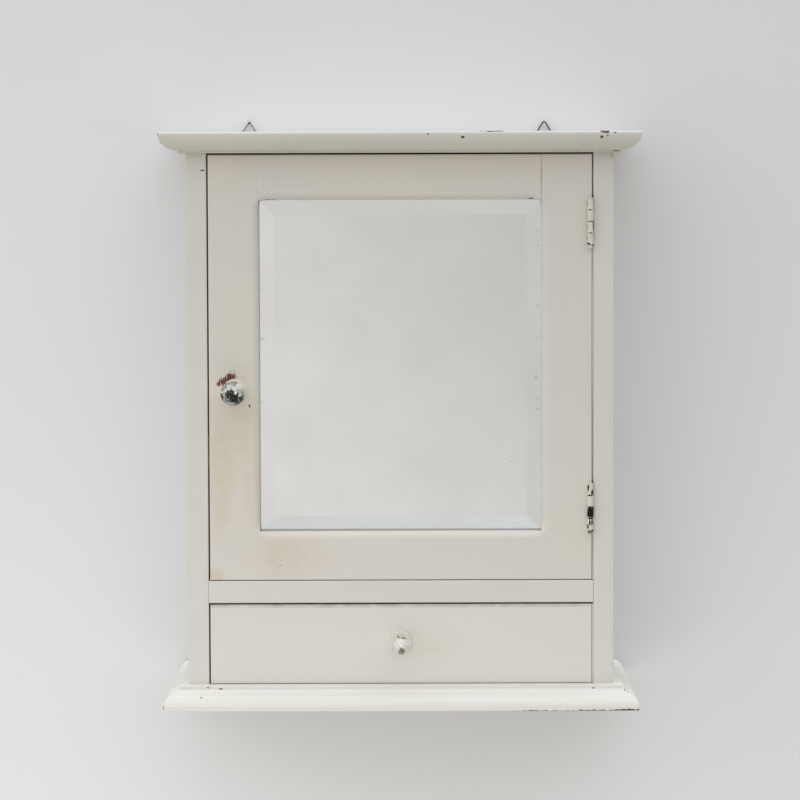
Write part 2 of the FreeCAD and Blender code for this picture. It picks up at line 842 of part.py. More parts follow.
def door_stile(blank, side, *tools):
    """An upright with a mortise for each rail, cut for what it carries."""
    low, high = (-DOOR_EDGE, -SIGHT) if side == "left" else (SIGHT, DOOR_EDGE)
    name = f"door_stile_{side}"
    region = box(name + "_region", (low, FACE, DOOR_LOW), (high, DOOR_BACK, DOOR_TOP))
    face = common(name + "_face", blank, region)
    length = S.tenon_long + S.mortise_end_gap
    mortises = [tenon(f"{name}_mortise_{which}", side, which, length) for which in ("top", "bottom")]
    return cut(name, face, *mortises, *tools)


def glass_levels():
    """Front, edge and back planes of the glass.  Its bevel bears on the lip's arris."""
    covered = S.mirror_rebate_wide - S.glass_clearance
    share = covered.value / S.bevel_wide.value
    drop_at_lip = Size(
        S.bevel_drop.value * share,
        f"({S.bevel_drop.text} * {covered.text} / {S.bevel_wide.text})",
    )
    edge = LIP_BACK + drop_at_lip
    return edge - S.bevel_drop, edge, edge + S.glass_edge


def mirror_glass():
    """Silvered plate: a square edge, then a wide bevel up to the flat face."""
    front, edge, back = glass_levels()
    outer = REBATE - S.glass_clearance
    low, high = REBATE_LOW + S.glass_clearance, REBATE_TOP - S.glass_clearance
    plate = box("mirror_plate", (-outer, edge, low), (outer, back, high))
    inner = outer - S.bevel_wide
    bevel = doc.addObject("Part::Wedge", "mirror_bevel")
    bind(bevel, Ymin=front, Ymax=edge)
    bind(bevel, Xmin=-inner, Xmax=inner, Zmin=low + S.bevel_wide, Zmax=high - S.bevel_wide)
    bind(bevel, X2min=-outer, X2max=outer, Z2min=low, Z2max=high)
    place(bevel, 0, 0, 0)
    return fuse("mirror_glass", plate, bevel)


def mirror_backing():
    """The thin board behind the glass."""
    back = glass_levels()[2]
    outer = REBATE - S.glass_clearance
    low, high = REBATE_LOW + S.glass_clearance, REBATE_TOP - S.glass_clearance
    return box("mirror_backing", (-outer, back, low), (outer, back + S.backing_thick, high))


def bead_points(which):
    """A bead's face, mitred at both ends."""
    wide = S.bead_wide
    corners = {
        "bottom": [(-REBATE, REBATE_LOW), (REBATE, REBATE_LOW), (REBATE - wide, REBATE_LOW + wide)],
        "right": [(REBATE, REBATE_LOW), (REBATE, REBATE_TOP), (REBATE - wide, REBATE_TOP - wide)],
        "top": [(REBATE, REBATE_TOP), (-REBATE, REBATE_TOP), (wide - REBATE, REBATE_TOP - wide)],
        "left": [(-REBATE, REBATE_TOP), (-REBATE, REBATE_LOW), (wide - REBATE, REBATE_LOW + wide)],
    }[which]
    last = {
        "bottom": (wide - REBATE, REBATE_LOW + wide),
        "right": (REBATE - wide, REBATE_LOW + wide),
        "top": (REBATE - wide, REBATE_TOP - wide),
        "left": (wide - REBATE, REBATE_TOP - wide),
    }[which]
    return [*corners, last]


def mirror_bead(which, pins):
    """One of the four beads that hold glass and backing in, its inner edge rounded."""
    body = new_body(f"mirror_bead_{which}_blank")
    deep = DOOR_BACK - glass_levels()[2] - S.backing_thick
    strip = pad(body, f"mirror_bead_{which}_pad", "XZ_Plane", bead_points(which), deep)
    doc.recompute()
    fillet = body.newObject("PartDesign::Fillet", f"mirror_bead_{which}_rounding")
    fillet.Base = (strip, [inner_edge(strip.Shape)])
    bind(fillet, Radius=S.bead_round)
    place(body, 0, DOOR_BACK, 0)
    return cut(f"mirror_bead_{which}", body, pins)


def inner_edge(shape):
    """The name of the bead's back edge nearest the middle of the mirror."""
    middle = FreeCAD.Vector(0, shape.BoundBox.YMax, (REBATE_LOW.value + REBATE_TOP.value) / 2)
    numbers = range(1, len(shape.Edges) + 1)
    nearest = min(numbers, key=lambda number: (shape.Edges[number - 1].CenterOfMass - middle).Length)
    return f"Edge{nearest}"


def bead_pins():
    """Headless pins through the beads into the frame."""
    depth = DOOR_BACK - S.bead_round
    inset = S.bead_wide / 2
    rows = []
    for number, x in enumerate(spread(-REBATE, REBATE, BEAD_PINS), start=1):
        start = (x, depth, REBATE_TOP - inset)
        rows.append(rod(f"bead_pins_top_{number}", start, "+Z", S.pin_nail_radius, S.pin_nail_long))
        start = (x, depth, REBATE_LOW + inset)
        rows.append(rod(f"bead_pins_bottom_{number}", start, "-Z", S.pin_nail_radius, S.pin_nail_long))
    for number, z in enumerate(spread(REBATE_LOW, REBATE_TOP, BEAD_PINS), start=1):
        start = (REBATE - inset, depth, z)
        rows.append(rod(f"bead_pins_right_{number}", start, "+X", S.pin_nail_radius, S.pin_nail_long))
        start = (inset - REBATE, depth, z)
        rows.append(rod(f"bead_pins_left_{number}", start, "-X", S.pin_nail_radius, S.pin_nail_long))
    return group("bead_pins", rows)


# Knob, pull and catch


def knob_rose():
    """The stepped washer under the door knob: a rounded flange, then a raised middle."""
    step = S.rose_thick - S.rose_step_high
    points = [
        (S.bolt_radius, as_size(0)),
        (S.rose_radius, as_size(0)),
        (S.rose_radius, S.rose_step_high - S.rose_round),
        (S.rose_radius - S.rose_round, S.rose_step_high, S.rose_round),
        (S.rose_step_radius, S.rose_step_high),
        (S.rose_step_radius - step, S.rose_thick, step),
        (S.bolt_radius, S.rose_thick),
    ]
    return place(turned("knob_rose", points), KNOB_X, FACE, KNOB_Z, "-Y")


def door_knob():
    """A ball on a waisted neck, bored from below for its bolt."""
    neck_top = Size(
        S.knob_ball_out.value - (S.knob_ball_radius.value**2 - S.knob_neck_radius.value**2) ** 0.5,
        f"({S.knob_ball_out.text} - sqrt({S.knob_ball_radius.text}^2 - {S.knob_neck_radius.text}^2))",
    )
    points = [
        (S.bolt_radius, as_size(0)),
        (S.knob_foot_radius, as_size(0)),
        (S.knob_foot_radius, S.knob_foot_high),
        (S.knob_neck_radius, neck_top, -S.knob_neck_round),
        (as_size(0), S.knob_ball_out + S.knob_ball_radius, S.knob_ball_radius),
        (as_size(0), S.bolt_in_knob),
        (S.bolt_radius, S.bolt_in_knob),
    ]
    return place(turned("door_knob", points), KNOB_X, FACE - S.rose_thick, KNOB_Z, "-Y")


def bolt(name, start, length):
    """A round-headed bolt from the inside: the head at `start`, the shank running forward."""
    shank = rod(name + "_shank", start, "-Y", S.bolt_radius, length)
    head = rod(name + "_head", start, "+Y", S.bolt_head_radius, S.bolt_head_high)
    return fuse(name, shank, head)


def knob_bolt():
    length = S.door_thick + S.rose_thick + S.bolt_in_knob
    return bolt("knob_bolt", (KNOB_X, DOOR_BACK, KNOB_Z), length)


def pull_rose():
    """The domed rosette under the drawer pull."""
    points = [
        (S.bolt_radius, as_size(0)),
        (S.pull_rose_radius, as_size(0)),
        (S.pull_rose_radius, S.pull_rose_thick - S.pull_rose_round),
        (S.pull_rose_radius - S.pull_rose_round, S.pull_rose_thick, S.pull_rose_round),
        (S.bolt_radius, S.pull_rose_thick),
    ]
    return place(turned("pull_rose", points), 0, FACE, PULL_Z, "-Y")


def drawer_pull():
    """A bud on a slim neck, drawn out to a thin stem with a round nose."""
    high = S.pull_out - S.pull_rose_thick
    points = [
        (S.bolt_radius, as_size(0)),
        (S.pull_neck_radius, as_size(0)),
        (S.pull_neck_radius, S.pull_neck_high),
        (S.pull_bud_radius, S.pull_bud_up, S.pull_bud_under),
        (S.pull_nose_radius, S.pull_bud_high, S.pull_bud_round),
        (S.pull_nose_radius, high - S.pull_nose_radius),
        (as_size(0), high, S.pull_nose_radius),
        (as_size(0), S.pull_bolt_in),
        (S.bolt_radius, S.pull_bolt_in),
    ]
    return place(turned("drawer_pull", points), 0, FACE - S.pull_rose_thick, PULL_Z, "-Y")


def pull_bolt():
    length = S.drawer_front_thick + S.pull_rose_thick + S.pull_bolt_in
    return bolt("pull_bolt", (as_size(0), FACE + S.drawer_front_thick, PULL_Z), length)


def catch_centre():
    """The middle of the catch's ball, which stands a little out of the door's edge."""
    return (-DOOR_EDGE + S.catch_ball_radius - S.catch_ball_out, CATCH_Y, CATCH_Z)


def catch_barrel():
    """A barrel sunk in the door's edge, its mouth closed in round the ball."""
    barrel = rod("catch_barrel_blank", (-DOOR_EDGE, CATCH_Y, CATCH_Z), "+X", S.catch_radius, S.catch_long)
    room = S.catch_ball_radius + S.catch_clearance
    seat = ball("catch_seat", catch_centre(), room)
    deep = S.catch_long - S.catch_end_wall - S.catch_ball_radius + S.catch_ball_out
    bore = rod("catch_bore", catch_centre(), "+X", room, deep)
    return cut("catch_barrel", barrel, seat, bore)


def catch_spring():
    """The coil between the ball and the end of the barrel."""
    body = new_body("catch_spring")
    sketch = new_sketch(body, "catch_spring_wire", "XZ_Plane")
    centre, upward = FreeCAD.Vector(S.spring_radius.value, 0, 0), FreeCAD.Vector(0, 0, 1)
    sketch.addGeometry(Part.Circle(centre, upward, S.spring_wire_radius.value), False)
    tie(sketch, Sketcher.Constraint("DistanceX", -1, 1, 0, 3, S.spring_radius.value), S.spring_radius)
    sketch.addConstraint(Sketcher.Constraint("PointOnObject", 0, 3, -1))
    tie(sketch, Sketcher.Constraint("Radius", 0, S.spring_wire_radius.value), S.spring_wire_radius)
    coil = body.newObject("PartDesign::AdditiveHelix", "catch_spring_coil")
    coil.Profile = sketch
    coil.ReferenceAxis = (sketch, ["V_Axis"])
    coil.Mode = "pitch-height-angle"
    x, y, z = catch_centre()
    room = S.catch_long - S.catch_end_wall - S.catch_ball_radius * 2 + S.catch_ball_out
    bind(coil, Pitch=S.spring_pitch, Height=room - S.spring_wire_radius * 2)
    return place(body, x + S.catch_ball_radius + S.spring_wire_radius, y, z, "+X")


def strike_plate(screws):
    """The plate on the case that the ball bears on, with a hole for the ball."""
    low = (-INSIDE, CATCH_Y - S.strike_wide / 2, CATCH_Z - S.strike_high / 2)
    high = (-INSIDE + S.strike_thick, CATCH_Y + S.strike_wide / 2, CATCH_Z + S.strike_high / 2)
    hole = rod("strike_hole", (-INSIDE, CATCH_Y, CATCH_Z), "+X", S.catch_ball_radius, S.strike_thick)
    return cut("strike_plate", box("strike_blank", low, high), hole, screws)


def strike_screws():
    rows = []
    for number, offset in enumerate((-S.strike_screw_spread / 2, S.strike_screw_spread / 2), start=1):
        name = f"strike_screws_{number}"
        start = (-INSIDE + S.strike_thick, CATCH_Y, CATCH_Z + offset)
        head = (S.small_head_radius, S.small_head_high)
        rows.append(screw(name, start, "-X", *head, S.small_radius, S.small_screw_long))
    return group("strike_screws", rows)


# Drawer


def drawer_side(side, *tools):
    """A side whose front end is cut into dovetails, grooved for the bottom and housed for the back."""
    name = f"drawer_side_{side}"
    body = new_body(name + "_blank")
    shoulder = FACE + S.drawer_front_thick
    top = BASE_TOP + S.drawer_side_high
    outline = rectangle((shoulder, BASE_TOP), (DRAWER_END, top))
    pad(body, name + "_board", "YZ_Plane", outline, S.drawer_side_thick)
    middle = BASE_TOP + S.drawer_side_high / 2
    for number in range(DOVETAILS):
        centre = middle + S.dovetail_pitch * (number - (DOVETAILS - 1) / 2)
        root, tip = S.dovetail_root / 2, S.dovetail_root / 2 + S.dovetail_flare
        end = shoulder - S.dovetail_long
        points = [
            (shoulder, centre - root),
            (shoulder, centre + root),
            (end, centre + tip),
            (end, centre - tip),
        ]
        pad(body, f"{name}_tail_{number + 1}", "YZ_Plane", points, S.drawer_side_thick)
    place(body, -DRAWER_EDGE if side == "left" else DRAWER_EDGE - S.drawer_side_thick, 0, 0)
    return cut(name, body, *tools)


def drawer_front(*tools):
    low, high = (-DRAWER_EDGE, FACE, DRAWER_LOW), (DRAWER_EDGE, FACE + S.drawer_front_thick, DRAWER_TOP)
    return cut("drawer_front", eased_board("drawer_front_blank", low, high, outline_edge), *tools)


def drawer_bottom():
    """Thin ply in grooves in the front and sides, run under the back."""
    edge = DRAWER_EDGE - S.drawer_side_thick + S.drawer_groove
    front = FACE + S.drawer_front_thick - S.drawer_groove
    return box("drawer_bottom_blank", (-edge, front, BOTTOM_LOW), (edge, DRAWER_BACK_REAR, BOTTOM_TOP))


def drawer_back():
    """The back, housed in the sides and standing on the bottom."""
    edge = DRAWER_EDGE - S.drawer_side_thick + S.drawer_back_dado
    front = DRAWER_BACK_REAR - S.drawer_back_thick
    top = BASE_TOP + S.drawer_side_high - S.drawer_back_drop
    return box("drawer_back_blank", (-edge, front, BOTTOM_TOP), (edge, DRAWER_BACK_REAR, top))


def drawer_nails():
    """Nails up through the bottom into the back."""
    rows = []
    edge = DRAWER_EDGE - S.drawer_side_thick
    for number, x in enumerate(spread(-edge, edge, DRAWER_NAILS), start=1):
        start = (x, DRAWER_BACK_REAR - S.drawer_back_thick / 2, BOTTOM_LOW)
        rows.append(rod(f"drawer_nails_{number}", start, "+Z", S.nail_radius, S.drawer_nail_long))
    return group("drawer_nails", rows)


# Hanging rings


def hanger_ring(side):
    """A triangle of bent wire that turns in its strap."""
    body = new_body(f"hanger_ring_{side}")
    path = new_sketch(body, f"hanger_ring_{side}_path", "XZ_Plane")
    half, high = S.ring_wide / 2, S.ring_high
    corners = [(-half, as_size(0)), (half, as_size(0)), (as_size(0), high)]
    spots = [FreeCAD.Vector(u.value, v.value, 0) for u, v in corners]
    for index in range(3):
        path.addGeometry(Part.LineSegment(spots[index], spots[(index + 1) % 3]), False)
    for index in range(3):
        path.addConstraint(Sketcher.Constraint("Coincident", index, 2, (index + 1) % 3, 1))
    for index, (u, v) in enumerate(corners):
        tie(path, Sketcher.Constraint("DistanceX", -1, 1, index, 1, u.value), u)
        tie(path, Sketcher.Constraint("DistanceY", -1, 1, index, 1, v.value), v)
    doc.recompute()
    for index in range(3):
        path.fillet(index, 2, S.ring_corner_round.value, True, True)
        bend = path.GeometryCount - 2
        tie(path, Sketcher.Constraint("Radius", bend, S.ring_corner_round.value), S.ring_corner_round)
    wire = new_sketch(body, f"hanger_ring_{side}_section", "YZ_Plane")
    upward = FreeCAD.Vector(0, 0, 1)
    wire.addGeometry(Part.Circle(FreeCAD.Vector(), upward, S.ring_wire_radius.value), False)
    wire.addConstraint(Sketcher.Constraint("Coincident", 0, 3, -1, 1))
    tie(wire, Sketcher.Constraint("Radius", 0, S.ring_wire_radius.value), S.ring_wire_radius)
    pipe = body.newObject("PartDesign::AdditivePipe", f"hanger_ring_{side}_bend")
    pipe.Profile = wire
    pipe.Spine = path
    return place(body, RINGS[side], RING_Y, RING_Z)


def hanger_strap(side, screws):
    """A strap bent round the ring's base and screwed to the cornice's back edge."""
    name = f"hanger_strap_{side}"
    x = RINGS[side]
    left, right = x - S.strap_wide / 2, x + S.strap_wide / 2
    loop = rod(name + "_loop", (left, RING_Y, RING_Z), "+X", STRAP_RADIUS, S.strap_wide)
    low, high = (left, BACK, RING_Z - S.strap_long), (right, BACK + S.strap_thick, RING_Z)
    plate = box(name + "_plate", low, high)
    room = S.ring_wire_radius + S.ring_clearance
    eye = rod(name + "_eye", (left, RING_Y, RING_Z), "+X", room, S.strap_wide)
    return cut(name, fuse(name + "_blank", loop, plate), eye, screws)


def hanger_screws():
    rows = []
    for side, x in RINGS.items():
        for number, offset in enumerate((-S.small_screw_spread / 2, S.small_screw_spread / 2), start=1):
            start = (x + offset, BACK + S.strap_thick, RING_Z - S.strap_long * 0.65)
            head = (S.small_head_radius, S.small_head_high)
            name = f"hanger_screws_{side}_{number}"
            rows.append(screw(name, start, "-Y", *head, S.small_radius, S.small_screw_long))
    return group("hanger_screws", rows)


def build_case():
    parts = {}
    for make in (base_screws, top_nails, back_nails, cleat_nails, divider, strike_screws, hanger_screws):
        piece = make()
        parts[piece.Name] = piece
    parts["hinge_case_screws"] = hinge_screws("hinge_case_screws", CASE_LEAF_X, "+X")
    panel = back_panel()
    parts["back_panel"] = cut("back_panel", panel, parts["back_nails"])
    met = ("divider", "base_screws", "top_nails", "back_nails", "cleat_nails")
    shared = [parts[name] for name in met]
    parts["side_left"] = side_board("left", *shared, parts["strike_screws"])
    parts["side_right"] = side_board("right", *shared, parts["hinge_case_screws"])
    board = moulded_board("base_board_blank", base_steps(), S.overhang)
    parts["base_board"] = cut("base_board", board, parts["base_screws"])
    board = moulded_board("top_board_blank", cornice_steps(), S.cornice_out)
    parts["top_board"] = cut("top_board", board, parts["top_nails"], parts["hanger_screws"])
    for which, up in (("lower", S.shelf_lower_up), ("upper", S.shelf_upper_up)):
        parts[f"shelf_{which}"] = shelf(which, up)
        for side in ("left", "right"):
            name = f"cleat_{which}_{side}"
            parts[name] = cut(name, cleat(which, side, up), parts["cleat_nails"])
    parts["door_stop"] = cut("door_stop", door_stop(), parts["cleat_nails"])
    for side in ("left", "right"):
        parts[f"drawer_stop_{side}"] = drawer_stop(side)
        parts[f"hanger_strap_{side}"] = hanger_strap(side, parts["hanger_screws"])
        parts[f"hanger_ring_{side}"] = hanger_ring(side)
    parts["strike_plate"] = strike_plate(parts["strike_screws"])
    for which, low in HINGES.items():
        name = f"hinge_{which}_case_leaf"
        parts[name] = hinge_leaf(name, low, CASE_LEAF_X, (0, 2), S.pin_radius, parts["hinge_case_screws"])
        parts[f"hinge_{which}_pin"] = hinge_pin(f"hinge_{which}_pin", low)
    return parts


def build_door():
    parts = {}
    parts["hinge_door_screws"] = hinge_screws("hinge_door_screws", DOOR_LEAF_X + S.leaf_thick, "-X")
    for which, low in HINGES.items():
        name = f"hinge_{which}_door_leaf"
        bore = S.pin_radius + S.pin_clearance
        parts[name] = hinge_leaf(name, low, DOOR_LEAF_X, (1, 3), bore, parts["hinge_door_screws"])
    leaves = [parts[f"hinge_{which}_door_leaf"] for which in HINGES]
    for make in (knob_rose, door_knob, knob_bolt, catch_spring, bead_pins, mirror_glass, mirror_backing):
        piece = make()
        parts[piece.Name] = piece
    sunk = rod("catch_hole", (-DOOR_EDGE, CATCH_Y, CATCH_Z), "+X", S.catch_radius, S.catch_long)
    parts["catch_barrel"] = catch_barrel()
    parts["catch_ball"] = ball("catch_ball", catch_centre(), S.catch_ball_radius)
    blank = door_blank()
    pins = parts["bead_pins"]
    parts["door_stile_left"] = door_stile(blank, "left", parts["knob_bolt"], sunk, pins)
    parts["door_stile_right"] = door_stile(blank, "right", *leaves, parts["hinge_door_screws"], pins)
    for which in ("top", "bottom"):
        parts[f"door_rail_{which}"] = door_rail(blank, which, pins)
    for which in ("top", "bottom", "left", "right"):
        parts[f"mirror_bead_{which}"] = mirror_bead(which, pins)
    return parts


def build_drawer():
    parts = {}
    for make in (drawer_nails, pull_rose, drawer_pull, pull_bolt):
        piece = make()
        parts[piece.Name] = piece
    bottom = drawer_bottom()
    back = drawer_back()
    parts["drawer_bottom"] = cut("drawer_bottom", bottom, parts["drawer_nails"])
    parts["drawer_back"] = cut("drawer_back", back, parts["drawer_nails"])
    for side in ("left", "right"):
        parts[f"drawer_side_{side}"] = drawer_side(side, bottom, back)
    sides = [parts[f"drawer_side_{side}"] for side in ("left", "right")]
    parts["drawer_front"] = drawer_front(*sides, bottom, parts["pull_bolt"])
    return parts


parts = {**build_case(), **build_door(), **build_drawer()}
doc.recompute()

for obj in doc.Objects:
    if "Invalid" in obj.State or "Error" in obj.State:
        raise RuntimeError(f"{obj.Label} failed: {obj.State}")
for name, piece in parts.items():
    piece.Label = name
    if piece.Shape.isNull() or not piece.Shape.isValid() or not piece.Shape.Solids:
        raise RuntimeError(f"{name} has no valid solid")

os.makedirs("parts", exist_ok=True)
for name, piece in parts.items():
    piece.Shape.exportStep(f"parts/{name}.step")
    print(f"{name}: {len(piece.Shape.Solids)} solids, {piece.Shape.Volume:.1f} mm3")
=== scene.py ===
# %% [markdown]
# # A painted wall cabinet with a mirror door
#
# The real cabinet is a small pine case from a bathroom wall. It was brushed with cream enamel
# more than once, hinges, drawer pull and all, and then used for years. The joinery is already
# there as a fixed frame, so this lesson is about its skin: worn paint, tarnished nickel, aged
# silvering, bare pine inside, and the quiet light that it hangs in.

# %% Load the fixed frame
import math

import bpy
from mathutils import Matrix, Vector


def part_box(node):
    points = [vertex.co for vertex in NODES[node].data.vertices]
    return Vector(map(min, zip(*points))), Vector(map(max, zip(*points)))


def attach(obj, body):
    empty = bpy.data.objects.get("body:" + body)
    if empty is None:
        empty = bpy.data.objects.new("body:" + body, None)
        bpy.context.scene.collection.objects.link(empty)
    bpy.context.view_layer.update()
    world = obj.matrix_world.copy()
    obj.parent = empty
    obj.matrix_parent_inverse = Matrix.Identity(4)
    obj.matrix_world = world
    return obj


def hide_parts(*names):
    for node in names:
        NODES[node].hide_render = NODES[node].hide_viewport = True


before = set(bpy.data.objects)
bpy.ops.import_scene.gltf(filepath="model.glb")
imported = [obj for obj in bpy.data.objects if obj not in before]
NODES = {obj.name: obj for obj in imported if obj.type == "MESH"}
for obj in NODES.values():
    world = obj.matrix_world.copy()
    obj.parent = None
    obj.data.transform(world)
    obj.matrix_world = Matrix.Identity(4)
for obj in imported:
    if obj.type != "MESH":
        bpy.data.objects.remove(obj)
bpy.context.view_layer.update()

MM = 0.001

# %% [markdown]
# ## Camera
#
# A cabinet on a wall is seen square on by somebody who stands in front of it, so the eye is just
# below the level of its top. Pointing the camera down at the middle would make the uprights lean
# together. Most of the lowering is therefore done with lens shift, as on a view camera, and only
# the last few degrees with tilt. A hand-held camera is never quite level, hence the tiny roll.

# %% Set the camera
EYE = Vector((0.0012, -2.568, 0.537))
TILT, ROLL = math.radians(2.68), math.radians(-0.167)
camera = bpy.data.objects.new("camera", bpy.data.cameras.new("camera"))
bpy.context.scene.collection.objects.link(camera)
camera.location = EYE
aim = Matrix.Rotation(math.radians(90) - TILT, 3, "X") @ Matrix.Rotation(ROLL, 3, "Z")
camera.rotation_euler = aim.to_euler()
SENSOR = 36
camera.data.sensor_width = SENSOR
camera.data.lens = 113.1
camera.data.shift_x = -0.0017
camera.data.shift_y = -0.14
bpy.context.scene.camera = camera
view_wide = SENSOR * -EYE.y / camera.data.lens
print("eye", round(-EYE.y, 2), "m in front, view", round(view_wide, 2), "m wide")

# %% [markdown]
# ## Tools for materials
#
# A material is a small graph of nodes, and a few helpers are enough to write one down. `linear`
# turns a colour from a paint chart, written as sRGB hex, into the numbers that a shader takes.
# `add` puts in a node, sets it, joins it to what feeds it and hands back its output, so a graph
# reads as a list of steps. Three steps come up all the time. `noise` gives cloudy numbers around
# a half. `remap` turns "from here to there" into 0 to 1, or into any other range. And `mix` lays
# one colour over another, as much as such a number says.

# %% Colour and node helpers
def linear(code):
    """An sRGB hex colour as linear red, green, blue and alpha."""
    parts = [int(code[start:start + 2], 16) / 255 for start in (1, 3, 5)]
    return (*(p / 12.92 if p <= 0.04045 else ((p + 0.055) / 1.055) ** 2.4 for p in parts), 1.0)


def feed(tree, node, inputs):
    """Sets or links a node's inputs, by name or by number."""
    for name, value in inputs.items():
        if isinstance(name, int):
            socket = node.inputs[name]
        else:
            socket = next(s for s in node.inputs if s.enabled and s.name == name)
        if isinstance(value, bpy.types.NodeSocket):
            tree.links.new(value, socket)
        else:
            socket.default_value = value


def add(tree, kind, inputs=None, output=None, **settings):
    """Adds a node, set and joined, and gives its first live output or the one named."""
    node = tree.nodes.new("ShaderNode" + kind)
    for name, value in settings.items():
        setattr(node, name, value)
    feed(tree, node, inputs or {})
    return next(s for s in node.outputs if s.enabled and output in (None, s.name))


def noise(tree, place, scale, detail, roughness=0.5):
    """Soft clouds, `scale` of them to a metre, with `detail` octaves of finer ones."""
    clouds = {"Vector": place, "Scale": scale, "Detail": detail, "Roughness": roughness}
    return add(tree, "TexNoise", clouds)


def remap(tree, value, given=(0.0, 1.0), wanted=(0.0, 1.0)):
    """The value moved from one range to another. Beyond the range's ends it stays put."""
    return add(tree, "MapRange", {0: value, 1: given[0], 2: given[1], 3: wanted[0], 4: wanted[1]})


def mix(tree, amount, under, over):
    """A colour laid over another. Either is a hex code or what another node gives."""
    under, over = (linear(each) if isinstance(each, str) else each for each in (under, over))
    return add(tree, "Mix", {"Factor": amount, "A": under, "B": over}, data_type="RGBA")


def begin(name):
    """A new material, its nodes, its shader, and each point's place in metres."""
    material = bpy.data.materials.new(name)
    material.use_nodes = True
    tree = material.node_tree
    return material, tree, tree.nodes["Principled BSDF"], add(tree, "TexCoord", output="Object")


def cover(material, *names):
    """Gives CAD nodes that material."""
    for name in names:
        for slot in NODES[name].material_slots:
            slot.material = material


print("cream", [round(part, 3) for part in linear("#D8D4C6")[:3]])

# %% [markdown]
# Wear isn't spread evenly. It sits where hands, knocks and damp were, so the materials below need
# a soft patch that is 1 at a chosen place and fades to 0. A spherical gradient does this, squeezed
# by a Mapping node. Several patches, each with its own strength, add up to a map of the damage.

# %% Patches
def patch(tree, place, centre, size):
    """1 at the centre, fading to 0 at `size` from it along each axis."""
    squeezed = add(tree, "Mapping", {
        "Vector": place,
        "Location": [-at / reach for at, reach in zip(centre, size)],
        "Scale": [1 / reach for reach in size],
    })
    return add(tree, "TexGradient", {"Vector": squeezed}, "Fac", gradient_type="SPHERICAL")


def damage(tree, place, even, spots):
    """A number raised at spots, each a (centre, size, strength)."""
    for centre, size, strength in spots:
        here = patch(tree, place, centre, size)
        even = add(tree, "Math", {0: here, 1: strength, 2: even}, operation="MULTIPLY_ADD")
    return even


print("patches and damage")

# %% [markdown]
# ## Cream enamel
#
# Oil enamel is laid on with a brush along the wood, and flows out nearly smooth. It keeps faint
# bristle lines, some unevenness of tone, and turns warmer with age and with grease from hands.
# The Ambient Occlusion node darkens the quirks and gaps: dust that a cloth doesn't reach, and
# painted shade. The arrises are a little round under their coats, so the Bevel node's softened
# normal shades them; it also paints them paler, a painted highlight, and shows where knocks take
# flakes off. Where a hand has chipped the paint down to an older red-brown coat, the chips run
# with the grain of the board.

# %% Brushed enamel
GREASE, DIRT_AND_SHADE, CRACK = "#C3AE88", "#8F8570", "#7D7362"


